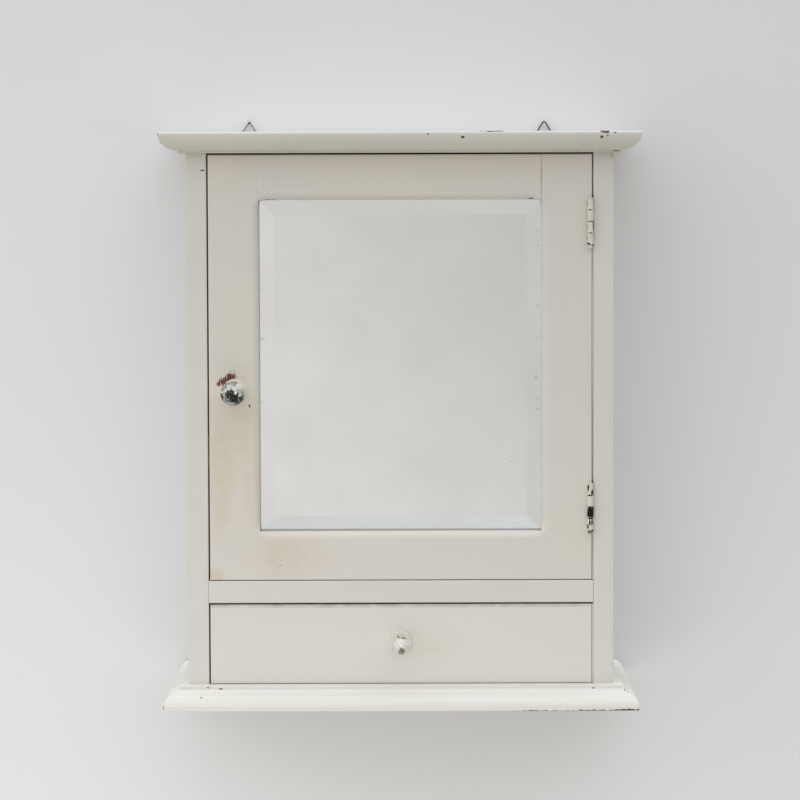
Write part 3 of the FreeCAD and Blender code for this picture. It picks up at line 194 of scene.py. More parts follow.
def enamel(name, along, cool, warm, stains=(), chips=(), scuffs=(), dirt_and_shade_amount=1.0, streaky=0.13):
    """Enamel brushed along an axis. Stains are (centre, size, strength, colour)."""
    material, tree, shader, place = begin(name)
    # Bristle lines about 2 mm apart, drawn a little coarse so that they show, and 200 mm long.
    fine = [480.0, 480.0, 480.0]
    fine["XYZ".index(along)] = 5.0
    laid = add(tree, "Mapping", {"Vector": place, "Scale": fine})
    bristles = noise(tree, laid, 1.0, 4.0, 0.55)
    # Clouds of tone about 100 mm across, and the edges of overlapping strokes.
    cloudy = noise(tree, place, 10.0, 4.0)
    tone = remap(tree, cloudy, (0.32, 0.68))
    colour = mix(tree, tone, cool, warm)
    streaks = remap(tree, bristles, (0.35, 0.75), (0.0, streaky))
    colour = mix(tree, streaks, colour, "#C9C2B0")
    # Old hand grease, water marks, and the cracks where two boards meet.
    mottle = noise(tree, place, 60.0, 5.0)
    uneven = remap(tree, mottle, (0.35, 0.65), (0.35, 1.0))
    for centre, size, strength, stain in stains:
        here = patch(tree, place, centre, size)
        spread = remap(tree, here, (0.0, 0.6), (0.0, strength))
        amount = add(tree, "Math", {0: spread, 1: uneven}, operation="MULTIPLY")
        colour = mix(tree, amount, colour, stain)
    # The arrises stand proud, and get a painted highlight: paler, as if they caught the light.
    rounded = add(tree, "Bevel", {"Radius": 0.0007}, samples=6)
    true = add(tree, "NewGeometry", output="Normal")
    agree = add(tree, "VectorMath", {0: rounded, 1: true}, "Value", operation="DOT_PRODUCT")
    arris_highlight = remap(tree, agree, (0.985, 0.88), (0.0, 0.55))
    colour = mix(tree, arris_highlight, colour, "#F6F4EF")
    # Dust and painted shade in the creases, and black dirt and painted shade deep in the gaps.
    hidden = add(tree, "AmbientOcclusion", {"Distance": 0.004}, "AO", samples=8)
    dust_and_shade = remap(tree, hidden, (0.32, 0.10), (0.0, 0.30 * dirt_and_shade_amount))
    colour = mix(tree, dust_and_shade, colour, DIRT_AND_SHADE)
    deep_dirt_and_shade = remap(tree, hidden, (0.14, 0.05), (0.0, 0.9 * dirt_and_shade_amount))
    colour = mix(tree, deep_dirt_and_shade, colour, "#3A342B")
    # Flakes off the arrises and at the spots that get knocked.
    arris = remap(tree, agree, (0.99, 0.75), (0.0, 0.14))
    flakes = noise(tree, place, 220.0, 4.0, 0.62)
    worn = damage(tree, place, add(tree, "Math", {0: flakes, 1: arris}), chips)
    rim = remap(tree, worn, (0.81, 0.85), (0.0, 0.5))
    colour = mix(tree, rim, colour, "#B9A98C")
    bare = remap(tree, worn, (0.85, 0.87))
    colour = mix(tree, bare, colour, "#54402F")
    # Chips that run with the grain, through to the red-brown coat and then to dark wood.
    if scuffs:
        grain = [820.0, 820.0, 820.0]
        grain["XYZ".index(along)] = 170.0
        split = add(tree, "Mapping", {"Vector": place, "Scale": grain})
        splits = noise(tree, split, 1.0, 4.0, 0.7)
        torn = damage(tree, place, splits, scuffs)
        lifted = remap(tree, torn, (0.80, 0.83))
        colour = mix(tree, lifted, colour, "#7F4B3D")
        deep = remap(tree, torn, (0.88, 1.02))
        colour = mix(tree, deep, colour, "#35241D")
        bare = add(tree, "Math", {0: bare, 1: lifted}, operation="MAXIMUM")
    # Bristle lines, flakes, and the slow waves of paint that was laid on thick.
    height = add(tree, "Math", {0: bristles, 1: bare}, operation="SUBTRACT")
    waves = noise(tree, place, 42.0, 2.0)
    height = add(tree, "Math", {0: waves, 1: 6.0, 2: height}, operation="MULTIPLY_ADD")
    bumpy = {"Height": height, "Distance": 0.00008, "Strength": 0.6, "Normal": rounded}
    bump = add(tree, "Bump", bumpy)
    gloss = remap(tree, bristles, (0.3, 0.7), (0.38, 0.52))
    feed(tree, shader, {"Base Color": colour, "Roughness": gloss, "Normal": bump, "IOR": 1.48})
    return material


print("enamel takes stains, chips and scuffs")

# %% [markdown]
# Now the places. They are measured from the parts: the corners of the base and the cornice, the
# joints between stiles and rails, the foot of each side board, and the stile under the knob,
# where fingers land.

# %% Where the enamel is stained and chipped
knob_low, knob_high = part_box("door_knob")
knob = (knob_low + knob_high) / 2
door_low, door_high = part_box("door_stile_left")
front = door_low.y
rail_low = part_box("door_rail_bottom")[0].z
base_low, base_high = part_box("base_board")
top_low, top_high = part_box("top_board")
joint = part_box("door_stile_right")[0].x
sight_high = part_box("door_rail_top")[0].z
drawer_low, drawer_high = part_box("drawer_front")

case_chips = [
    # The top edge of the cornice, from the left tip to the right.
    ((top_low.x, top_low.y, top_high.z - 0.0020), (0.0030, 0.02, 0.0025), 0.55),
    ((top_low.x + 0.003, top_low.y, top_high.z - 0.0110), (0.0016, 0.02, 0.0025), 0.60),
    ((0.0278, top_low.y, top_high.z - 0.0030), (0.0026, 0.02, 0.0018), 0.70),
    ((0.0622, top_low.y, top_high.z - 0.0060), (0.0034, 0.02, 0.0020), 0.85),
    ((0.0910, top_low.y, top_high.z), (0.0290, 0.02, 0.0016), 0.62),
    ((0.2024, top_low.y, top_high.z - 0.0008), (0.0085, 0.02, 0.0034), 0.78),
    ((0.1990, top_low.y, top_high.z - 0.0060), (0.0028, 0.02, 0.0026), 0.62),
    ((0.2045, top_low.y, top_high.z - 0.0050), (0.0022, 0.02, 0.0016), 0.62),
    ((0.2120, top_low.y, top_high.z - 0.0020), (0.0034, 0.02, 0.0014), 0.62),
    # Its underside at the right.
    ((0.2140, front - 0.007, top_low.z + 0.0012), (0.0080, 0.01, 0.0016), 0.50),
    ((0.1754, front - 0.004, top_low.z + 0.0010), (0.0060, 0.01, 0.0014), 0.50),
    # The side boards.
    ((-0.1967, front, door_high.z - 0.0155), (0.0055, 0.01, 0.0015), 0.62),
    ((0.2103, front, door_high.z - 0.0024), (0.0010, 0.01, 0.0080), 0.55),
    # The moulding under their feet.
    ((-0.1935, front - 0.006, base_high.z - 0.0018), (0.0030, 0.012, 0.0012), 0.66),
    ((-0.1806, front - 0.008, base_high.z - 0.0030), (0.0045, 0.012, 0.0010), 0.62),
    ((-0.1992, front - 0.017, base_high.z - 0.0096), (0.0014, 0.012, 0.0012), 0.62),
    ((0.1925, front - 0.006, base_high.z - 0.0030), (0.0030, 0.012, 0.0014), 0.66),
    ((0.2239, front - 0.010, base_high.z - 0.0044), (0.0026, 0.012, 0.0013), 0.66),
    ((0.2262, front - 0.012, base_high.z - 0.0064), (0.0016, 0.012, 0.0014), 0.66),
    # The bottom edge of the base, worse towards the right.
    ((base_high.x - 0.008, base_low.y, base_low.z), (0.0240, 0.02, 0.0040), 0.62),
    ((base_high.x - 0.045, base_low.y, base_low.z), (0.0400, 0.02, 0.0026), 0.50),
    ((0.1350, base_low.y, base_low.z), (0.0500, 0.02, 0.0020), 0.44),
    ((base_low.x, base_low.y, base_low.z + 0.0035), (0.0022, 0.02, 0.0055), 0.56),
]
# The base is greyer on top where it stands out past the side boards.
base_end_tones = [
    ((side, 0, base_high.z), (0.034, 0.080, 0.020), 0.45, "#B4B0A6")
    for side in (base_low.x, base_high.x)
]
door_stains = [
    ((knob.x, front, knob.z - 0.035), (0.034, 0.02, 0.070), 0.30, GREASE),
    ((knob.x - 0.014, front, 0.225), (0.016, 0.02, 0.070), 0.34, GREASE),
    ((knob.x + 0.018, front, 0.215), (0.014, 0.02, 0.050), 0.20, GREASE),
    ((-0.115, front, rail_low + 0.024), (0.050, 0.02, 0.030), 0.30, GREASE),
    ((-0.185, front, door_low.z + 0.004), (0.012, 0.02, 0.010), 0.50, GREASE),
    ((joint - 0.0002, front, door_high.z - 0.023), (0.0011, 0.02, 0.034), 0.75, CRACK),
]
door_chips = [
    # Crumbs round the sight edge, at its upper left corner, and at its right end.
    ((-joint + 0.0100, front + 0.003, sight_high + 0.0006), (0.0130, 0.02, 0.0016), 0.50),
    ((-joint - 0.0004, front + 0.003, sight_high - 0.0080), (0.0012, 0.02, 0.0090), 0.42),
    ((joint - 0.0100, front + 0.003, sight_high + 0.0010), (0.0140, 0.02, 0.0018), 0.44),
    ((-joint - 0.0010, front, sight_high + 0.0085), (0.0012, 0.02, 0.0008), 0.56),
    ((-0.1506, front, 0.3024), (0.0018, 0.02, 0.0028), 0.85),
    ((-0.1694, front, 0.3376), (0.0011, 0.02, 0.0009), 0.62),
    ((-0.1655, front, 0.3372), (0.0010, 0.02, 0.0016), 0.62),
    ((-0.1630, front, 0.3320), (0.0020, 0.02, 0.0007), 0.60),
    ((-0.1830, front, 0.3335), (0.0008, 0.02, 0.0008), 0.58),
    ((-joint + 0.020, front, rail_low + 0.015), (0.0012, 0.02, 0.0010), 0.60),
]
door_scuffs = [
    ((-0.1675, front, 0.3325), (0.0085, 0.02, 0.0090), 0.42),
    ((-0.1745, front, 0.3285), (0.0110, 0.02, 0.0090), 0.45),
    ((-0.1805, front, 0.3245), (0.0060, 0.02, 0.0060), 0.42),
]
drawer_stains = [
    # A darker band along the drawer front's top edge, just under the divider.
    ((0, front, drawer_high.z + 0.0010), (0.60, 0.01, 0.0050), 0.70, DIRT_AND_SHADE),
    ((0.030, front, 0.064), (0.040, 0.02, 0.024), 0.12, GREASE),
]
drawer_chips = [
    ((-0.0139, front, 0.0658), (0.0011, 0.01, 0.0009), 0.64),
    ((-0.0076, front, 0.0493), (0.0010, 0.01, 0.0010), 0.64),
]
# Each piece has its own cream. The base's is the lightest and the drawer's next, partly as painted
# light for the brighter lower part of the cabinet.
BASE = ("#DFDDD7", "#E1DDD6")
CASE = ("#D4D0C9", "#D8D4CC")
DOOR = ("#D6D0C9", "#D9D2C8")
DRAWER = ("#D9D5CF", "#DBD6CE")
case_upright = enamel("case_enamel_upright", "Z", *CASE, chips=case_chips)
case_across = enamel("case_enamel_across", "X", *CASE, chips=case_chips, streaky=0.24)
# The divider, the base, the door's lower rail and the drawer front get less of the dirt and painted
# shade.
divider_across = enamel("divider_enamel_across", "X", *CASE, dirt_and_shade_amount=0.2)
base_across = enamel(
    "base_enamel_across", "X", *BASE, base_end_tones, case_chips, dirt_and_shade_amount=0.2, streaky=0.22
)
door_upright = enamel("door_enamel_upright", "Z", *DOOR, door_stains, door_chips, door_scuffs)
door_across = enamel("door_enamel_across", "X", *DOOR, door_stains, door_chips)
door_low_across = enamel("door_enamel_low", "X", *DOOR, door_stains, door_chips, dirt_and_shade_amount=0.2)
drawer_across = enamel("drawer_enamel_across", "X", *DRAWER, drawer_stains, drawer_chips, dirt_and_shade_amount=0.3)
cover(case_upright, "side_left", "side_right")
cover(case_across, "top_board")
cover(divider_across, "divider")
cover(base_across, "base_board")
cover(door_upright, "door_stile_left", "door_stile_right")
cover(door_across, "door_rail_top")
cover(door_low_across, "door_rail_bottom")
cover(drawer_across, "drawer_front")
print(len(case_chips) + len(door_chips) + len(drawer_chips), "chips")

# %% [markdown]
# ## Paint in the gap
#
# Each new coat leaves a ridge where the brush dips into the gap on the hinge side, and nobody
# scrapes it out, so after some coats the gap is half closed. It could be a thicker board, but a
# board has a straight edge, and this edge wanders. So each ridge starts as a small face inside
# the gap, and is extruded upwards in short steps, each with its own thickness, like paint that
# was laid on by hand. A bevel takes the sharpness off.

# %% Lay the ridges
case_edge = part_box("side_right")[0].x


def paint_ridge(name, foot, top, thicknesses):
    """A ridge of old paint up the right side board, as thick as that, in mm, at even steps."""
    thin, deep = thicknesses[0] * MM, 7 * MM
    bpy.ops.object.select_all(action="DESELECT")
    middle = (case_edge - thin / 2, front + deep / 2, foot)
    bpy.ops.mesh.primitive_plane_add(size=1, location=middle)
    ridge = bpy.context.object
    ridge.name = name
    bpy.ops.transform.resize(value=(thin, deep, 1))
    bpy.ops.object.transform_apply(location=True, rotation=True, scale=True)
    bpy.ops.object.mode_set(mode="EDIT")
    bpy.ops.mesh.select_all(action="SELECT")
    step = (top - foot) / (len(thicknesses) - 1)
    at_wall = (case_edge, front + deep / 2, foot)
    for before, after in zip(thicknesses, thicknesses[1:]):
        bpy.ops.mesh.extrude_region_move(TRANSFORM_OT_translate={"value": (0, 0, step)})
        bpy.ops.transform.resize(value=(after / before, 1, 1), center_override=at_wall)
    bpy.ops.mesh.select_all(action="SELECT")
    bpy.ops.mesh.normals_make_consistent(inside=False)
    bpy.ops.object.mode_set(mode="OBJECT")
    bpy.ops.object.modifier_add(type="BEVEL")
    ridge.modifiers[-1].width = 0.12 * MM
    ridge.modifiers[-1].segments = 2
    ridge.modifiers[-1].angle_limit = math.radians(40)
    bpy.ops.object.modifier_apply(modifier=ridge.modifiers[-1].name)
    bpy.ops.object.shade_smooth_by_angle(angle=math.radians(30))
    ridge.data.materials.append(case_upright)
    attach(ridge, "case")
    return ridge


upper_hinge, lower_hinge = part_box("hinge_upper_case_leaf"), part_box("hinge_lower_case_leaf")
ridges = [
    paint_ridge(
        "gap_paint_top", upper_hinge[1].z + 0.003, door_high.z,
        [0.55, 0.45, 0.55, 0.4, 0.5],
    ),
    paint_ridge(
        "gap_paint_middle", lower_hinge[1].z + 0.002, upper_hinge[0].z - 0.002,
        [0.6, 0.65, 0.75, 0.7, 0.75, 0.85, 0.95, 1.05, 1.0, 1.1, 1.05, 1.1, 1.0, 0.9, 0.95],
    ),
    paint_ridge(
        "gap_paint_low", door_low.z, lower_hinge[0].z - 0.003,
        [0.95, 0.85, 0.8, 0.7, 0.75],
    ),
    paint_ridge(
        "gap_paint_drawer", drawer_low.z, drawer_high.z,
        [1.0, 1.15, 1.1, 1.15, 1.05, 1.15, 1.0],
    ),
]
print(len(ridges), "ridges", [len(ridge.data.polygons) for ridge in ridges], "faces")

# %% [markdown]
# ## Painted steel
#
# The butt hinges, the washer behind the knob and the rosette behind the pull were brushed over
# with the rest. Paint holds badly on oiled steel that moves: it has cracked in a ring wherever
# two knuckles meet, and one knuckle of the lower hinge has shed all of it, down to black.

# %% Painted hinges and rosettes
def painted_steel(name, wear, stretch, crease, rust="#0F0A07"):
    """Cream enamel on steel, flaked to a dark skin. Wear is (centre, size, strength)."""
    material, tree, shader, place = begin(name)
    long = add(tree, "Mapping", {"Vector": place, "Scale": stretch})
    flakes = noise(tree, long, 1.0, 3.0, 0.6)
    worn = damage(tree, place, flakes, wear)
    cloudy = noise(tree, place, 90.0, 3.0)
    tone = remap(tree, cloudy, (0.35, 0.65))
    paint = mix(tree, tone, "#DCD8CD", "#D2CCC0")
    # Grime and painted shade where the steel is hidden, between knuckles and round rims.
    hidden = add(tree, "AmbientOcclusion", {"Distance": 0.002}, "AO", samples=8)
    grime_and_shade = remap(tree, hidden, (0.5, 0.15), (0.0, crease))
    paint = mix(tree, grime_and_shade, paint, DIRT_AND_SHADE)
    # A lifted rim of paint, pale because it is thick there.
    rim = remap(tree, worn, (0.62, 0.69), (0.0, 0.6))
    paint = mix(tree, rim, paint, "#EAE6DA")
    metal = mix(tree, tone, rust, "#20170F")
    bare = remap(tree, worn, (0.71, 0.74))
    colour = mix(tree, bare, paint, metal)
    height = add(tree, "Math", {0: flakes, 1: bare}, operation="SUBTRACT")
    bump = add(tree, "Bump", {"Height": height, "Distance": 0.00015, "Strength": 0.8})
    rough = remap(tree, bare, (0.0, 1.0), (0.42, 0.60))
    matt = {"Roughness": rough, "Normal": bump, "Specular IOR Level": 0.15}
    feed(tree, shader, {"Base Color": colour, **matt})
    return material


def band(which, share, across, size, strength):
    """A worn spot on a hinge: `share` of the way down it, `across` its barrel's middle."""
    low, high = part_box(f"hinge_{which}_case_leaf")
    pin_low, pin_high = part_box(f"hinge_{which}_pin")
    pin = (pin_low + pin_high) / 2
    return ((pin.x + across, pin.y - 0.0028, high.z + (low.z - high.z) * share), size, strength)


# Four knuckles to a barrel, and a crack in the paint between each two.
cracks = [
    band(which, number / 4, 0, (0.0044, 0.006, 0.0008), 0.52)
    for which in ("upper", "lower")
    for number in (1, 2, 3)
]
hinge_wear = cracks + [
    band("upper", 0.83, -0.0028, (0.0011, 0.006, 0.0055), 0.50),
    band("upper", 0.60, 0.0028, (0.0010, 0.005, 0.0085), 0.50),
    band("upper", 0.12, -0.0030, (0.0008, 0.006, 0.0050), 0.42),
    band("upper", 0.62, -0.0030, (0.0008, 0.006, 0.0055), 0.46),
    band("upper", 0.985, -0.0022, (0.0022, 0.006, 0.0022), 0.60),
    band("lower", 0.08, -0.0021, (0.0014, 0.006, 0.0055), 0.52),
    band("lower", 0.19, 0.0016, (0.0018, 0.006, 0.0042), 0.60),
    band("lower", 0.24, -0.0012, (0.0018, 0.006, 0.0012), 0.50),
    band("lower", 0.565, 0, (0.0075, 0.012, 0.0050), 0.56),
    band("lower", 0.675, 0, (0.0075, 0.012, 0.0050), 0.56),
    band("lower", 0.83, -0.0008, (0.0010, 0.006, 0.0056), 0.75),
    band("lower", 0.83, 0.0016, (0.0010, 0.006, 0.0056), 0.75),
    band("lower", 0.93, -0.0032, (0.0020, 0.006, 0.0034), 0.75),
    band("lower", 1.045, -0.0012, (0.0016, 0.006, 0.0026), 0.55),
    band("lower", 1.045, 0.0014, (0.0014, 0.006, 0.0026), 0.55),
]
hinge_skin = painted_steel("painted_hinge_steel", hinge_wear, (900, 900, 130), 0.85)
for which in ("upper", "lower"):
    cover(hinge_skin, *[f"hinge_{which}_{part}" for part in ("case_leaf", "door_leaf", "pin")])
rose_wear = [
    ((knob.x - 0.0085, front, knob.z + 0.0085), (0.0090, 0.004, 0.0075), 0.42),
    ((knob.x + 0.0075, front - 0.002, knob.z + 0.0095), (0.0060, 0.006, 0.0040), 0.20),
]
rose_skin = painted_steel("painted_knob_washer", rose_wear, (420, 420, 420), 0.4, "#6E3B2E")
cover(rose_skin, "knob_rose")
pull_rose_wear_and_shade = [
    # The first spot is painted shade: a thin dark line on the rosette just above the neck, where
    # the swelling's shadow falls. The second is a chip.
    ((0.0012, front - 0.0025, 0.0692), (0.0040, 0.004, 0.0009), 0.62),
    ((-0.0030, front - 0.0025, 0.0705), (0.0011, 0.004, 0.0010), 0.58),
]
pull_rose_skin = painted_steel("painted_pull_rosette", pull_rose_wear_and_shade, (300, 300, 300), 0.10)
cover(pull_rose_skin, "pull_rose")
print(len(hinge_wear), "worn spots on the hinges")

# %% [markdown]
# ## Tarnished nickel knob
#
# The ball was nickel plated and later splashed with the enamel, which hands then polished off
# the crown. Nickel tarnishes to a mottled grey under a film of wax and skin grease, with black
# where the plate has gone; the black patch in the middle of the front is a painted dark
# reflection too. Paint stays in blobs, round the rim and in the neck.

# %% The knob
nickel, tree, shader, place = begin("tarnished_nickel_plate")
blotches = noise(tree, place, 230.0, 5.0, 0.6)
fine_blotches = noise(tree, place, 520.0, 4.0, 0.75)
grit = remap(tree, fine_blotches, (0.3, 0.7), (0.2, 0.8))
dull = remap(tree, blotches, (0.36, 0.62))
plate = mix(tree, dull, "#D8D8D8", "#8B8986")
BALL = 12.25 * MM
ball = Vector((knob.x, knob_low.y + BALL, knob.z))


def on_ball(right, up, reach, strength):
    """A spot on the front of the ball, in millimetres from its middle."""
    centre = (ball.x + right * MM, ball.y - 0.009, ball.z + up * MM)
    return (centre, (reach[0] * MM, 0.012, reach[1] * MM), strength)


# Black spots: plate worn through, and in the middle of the front a painted dark reflection.
worn_plate_and_dark_reflection = [
    on_ball(-1.0, -1.3, (9.5, 7.6), 0.50),
    on_ball(-1.5, 2.8, (4.2, 4.5), 0.22),
    on_ball(5.5, -6.5, (9.0, 8.0), 0.27),
    on_ball(-11.0, -2.5, (3.0, 6.0), 0.35),
    on_ball(10.0, -4.5, (4.0, 5.0), 0.28),
]
dark_field = damage(tree, place, grit, worn_plate_and_dark_reflection)
dark_plate = remap(tree, dark_field, (0.60, 0.70))
plate = mix(tree, dark_plate, plate, "#141312")
along = add(tree, "SeparateXYZ", {0: place}, "Y")
behind = remap(tree, along, (ball.y - 0.0055, ball.y + 0.0015), (0.0, 0.34))
blobs = noise(tree, place, 260.0, 3.0, 0.65)
paint_spots = [
    on_ball(3.6, 1.6, (2.4, 2.6), 0.62),
    on_ball(7.6, -0.4, (2.2, 1.9), 0.58),
    on_ball(-10.5, 2.2, (2.0, 2.0), 0.50),
    on_ball(-8.2, -0.9, (1.8, 1.8), 0.50),
    on_ball(8.5, 8.5, (7.0, 5.5), 0.50),
    on_ball(-4.0, 8.5, (4.0, 3.0), 0.30),
    on_ball(-7.0, -10.0, (6.0, 3.0), 0.42),
]
splashes = damage(tree, place, add(tree, "Math", {0: blobs, 1: behind}), paint_spots)
paint = remap(tree, splashes, (0.73, 0.755))
colour = mix(tree, paint, plate, "#DCD9CE")
height = add(tree, "Math", {0: paint, 1: grit})
bump = add(tree, "Bump", {"Height": height, "Distance": 0.00010, "Strength": 0.55})
covered = add(tree, "Math", {0: dark_plate, 1: 0.6, 2: paint}, operation="MULTIPLY_ADD", use_clamp=True)
metal = remap(tree, covered, (0.0, 1.0), (1.0, 0.0))
rough = remap(tree, blotches, (0.3, 0.7), (0.20, 0.38))
feed(tree, shader, {"Base Color": colour, "Metallic": metal, "Roughness": rough, "Normal": bump})
cover(nickel, "door_knob")
print("ball", round((knob_high.x - knob_low.x) / MM, 1), "mm across")

# %% [markdown]
# ## The turned pull
#
# The pull is a small acorn: a slim neck, a swelling as wide as a fingertip some 25 mm out from
# the drawer, and a short drawn-out nose. The frame has a simpler bud there. A lathe makes such a
# thing from a bar, and Blender can follow the lathe: start with a disc at the neck, extrude it
# outwards a little at a time, and scale each new rim to the radius that the turner would leave.
# Subdivision then rounds it.

# %% Turn the pull
pull_low, pull_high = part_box("drawer_pull")
rose_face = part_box("pull_rose")[0].y
pull_up = (pull_low.z + pull_high.z) / 2
UPRIGHT = (math.radians(90), 0, 0)
NECK = 3.2
# How far out from the rosette, and the radius there, in millimetres.
TURNING = [
    (9.0, 3.3), (14.0, 3.8), (16.6, 5.0), (18.4, 7.0), (21.0, 8.0), (23.6, 7.9),
    (26.8, 6.9), (29.4, 5.4), (31.6, 4.3), (33.6, 3.7), (34.8, 2.8), (35.35, 1.4),
]
bpy.ops.object.select_all(action="DESELECT")
bpy.ops.mesh.primitive_circle_add(
    vertices=32,
    radius=NECK * MM,
    fill_type="NGON",
    location=(0, rose_face, pull_up),
    rotation=UPRIGHT,
)
pull = bpy.context.object
pull.name = "turned_pull"
bpy.ops.object.transform_apply(location=True, rotation=True, scale=True)
bpy.ops.object.mode_set(mode="EDIT")
bpy.ops.mesh.select_all(action="SELECT")
reached, radius = 0.0, NECK
for out, wide in TURNING:
    bpy.ops.mesh.extrude_region_move(TRANSFORM_OT_translate={"value": (0, (reached - out) * MM, 0)})
    ratio = wide / radius
    centre = (0, rose_face - out * MM, pull_up)
    bpy.ops.transform.resize(value=(ratio, 1, ratio), center_override=centre)
    reached, radius = out, wide
bpy.ops.mesh.select_all(action="SELECT")
bpy.ops.mesh.normals_make_consistent(inside=False)
bpy.ops.object.mode_set(mode="OBJECT")
bpy.ops.object.modifier_add(type="SUBSURF")
pull.modifiers[-1].levels = pull.modifiers[-1].render_levels = 2
bpy.ops.object.modifier_apply(modifier=pull.modifiers[-1].name)
bpy.ops.object.shade_smooth()
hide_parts("drawer_pull")
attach(pull, "drawer")
print("pull", len(pull.data.polygons), "faces")

# %% [markdown]
# It still has its coat of enamel on the swelling. Fingers hook under it, so they have worn the
# underside and the nose back to steel, a grey mottled patch with a ragged border.

# %% The pull's finish
worn_pull, tree, shader, place = begin("worn_dark_steel_with_enamel")
flakes = noise(tree, place, 420.0, 4.0, 0.6)
nose = Vector((0.0003, rose_face - 0.0300, pull_up - 0.0034))
worn = damage(tree, place, flakes, [
    (nose, (0.0047, 0.0200, 0.0082), 0.75),
    ((0.0010, rose_face - 0.024, pull_up + 0.0040), (0.0012, 0.0080, 0.0013), 0.50),
])
bare = remap(tree, worn, (0.70, 0.74))
steel_tone = remap(tree, flakes, (0.38, 0.62))
steel = mix(tree, steel_tone, "#4B4944", "#B0ACA0")
coat_tone = remap(tree, flakes, (0.40, 0.60))
coat = mix(tree, coat_tone, "#E0DED6", "#D8D5CB")
colour = mix(tree, bare, coat, steel)
bump = add(tree, "Bump", {"Height": bare, "Distance": 0.00015, "Strength": 0.7}, invert=True)
metal = remap(tree, bare, (0.0, 1.0), (0.0, 0.6))
feed(tree, shader, {"Base Color": colour, "Metallic": metal, "Roughness": 0.42, "Normal": bump})
pull.data.materials.clear()
pull.data.materials.append(worn_pull)
print("pull worn at", [round(part / MM, 1) for part in nose])

# %% [markdown]
# ## Aged silvering
#
# The mirror is plate glass with a ground bevel, silvered behind. Damp creeps in from the edges
# and lifts the silver: first a grey-brown haze, then specks. Glass and silver act together as one
# bright metal-like surface, so a metallic shader is the simple way, with the foxing as colour and
# roughness near the edges. Hard against the wood at the left and the bottom, a dark line is painted
# on: a painted reflection of the shaded rebate, which the glass's thickness shows because the
# silver lies a few millimetres behind the face.

# %% Silvered glass
glass_low, glass_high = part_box("mirror_glass")
silver, tree, shader, place = begin("aged_silvered_glass")
sideways = add(tree, "SeparateXYZ", {0: place}, "X")
upward = add(tree, "SeparateXYZ", {0: place}, "Z")
out_from_middle = add(tree, "Math", {0: sideways}, operation="ABSOLUTE")
edge = remap(tree, out_from_middle, (joint - 0.018, joint - 0.004))
tall = patch(tree, place, (0, 0, (glass_low.z + glass_high.z) / 2 + 0.05), (10, 10, 0.16))
upper_half = remap(tree, tall, (0.0, 0.5), (0.25, 1.0))
damp = add(tree, "Math", {0: edge, 1: upper_half}, operation="MULTIPLY")
specks = noise(tree, place, 150.0, 6.0, 0.75)
speckled = add(tree, "Math", {0: damp, 1: 0.14, 2: specks}, operation="MULTIPLY_ADD")
spots = damage(tree, place, speckled, [
    ((0.110, glass_low.y, 0.2450), (0.0024, 0.02, 0.0014), 0.35),
    ((0.049, glass_low.y, 0.4720), (0.0120, 0.02, 0.0050), 0.10),
])
fox = remap(tree, spots, (0.70, 0.80), (0.0, 0.5))
haze = noise(tree, place, 14.0, 4.0)
hazy = remap(tree, haze, (0.35, 0.65))
colour = mix(tree, hazy, "#EFEFEF", "#EAE9E8")
colour = mix(tree, fox, colour, "#A59B8C")
sight_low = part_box("door_rail_bottom")[1].z
# A painted reflection: dark lines at the glass's left and lower edges, where the shaded rebate
# would show in it.
left_edge_reflection = remap(tree, sideways, (-joint + 0.0012, -joint + 0.0006), (0.0, 0.5))
low_edge_reflection = remap(tree, upward, (sight_low + 0.0026, sight_low + 0.0014), (0.0, 0.5))
edge_reflection = add(tree, "Math", {0: left_edge_reflection, 1: low_edge_reflection}, operation="MAXIMUM")
colour = mix(tree, edge_reflection, colour, "#4A463F")
blur = add(tree, "Math", {0: haze, 1: fox})
rough = remap(tree, blur, (0.3, 1.3), (0.05, 0.30))
feed(tree, shader, {"Base Color": colour, "Metallic": 1.0, "Roughness": rough})
cover(silver, "mirror_glass")
print("glass", [round(side / MM) for side in glass_high - glass_low], "mm")

# %% [markdown]
# ## Bare wood inside
#
# Only what shows with the door shut was painted. Shelves, cleats, drawer sides and beads are
# bare pine, browned by age. A board sawn beside the heart shows growth rings 3 to 5 mm apart,
# drawn out along the grain: rings round an axis, squeezed along it. The back, the drawer bottom
# and the board behind the glass are plywood, whose peeled face has wide, wild figure.

# %% Pine and plywood
# How far apart the rings of a wave texture are at scale 1, in metres.
WAVE = 0.314


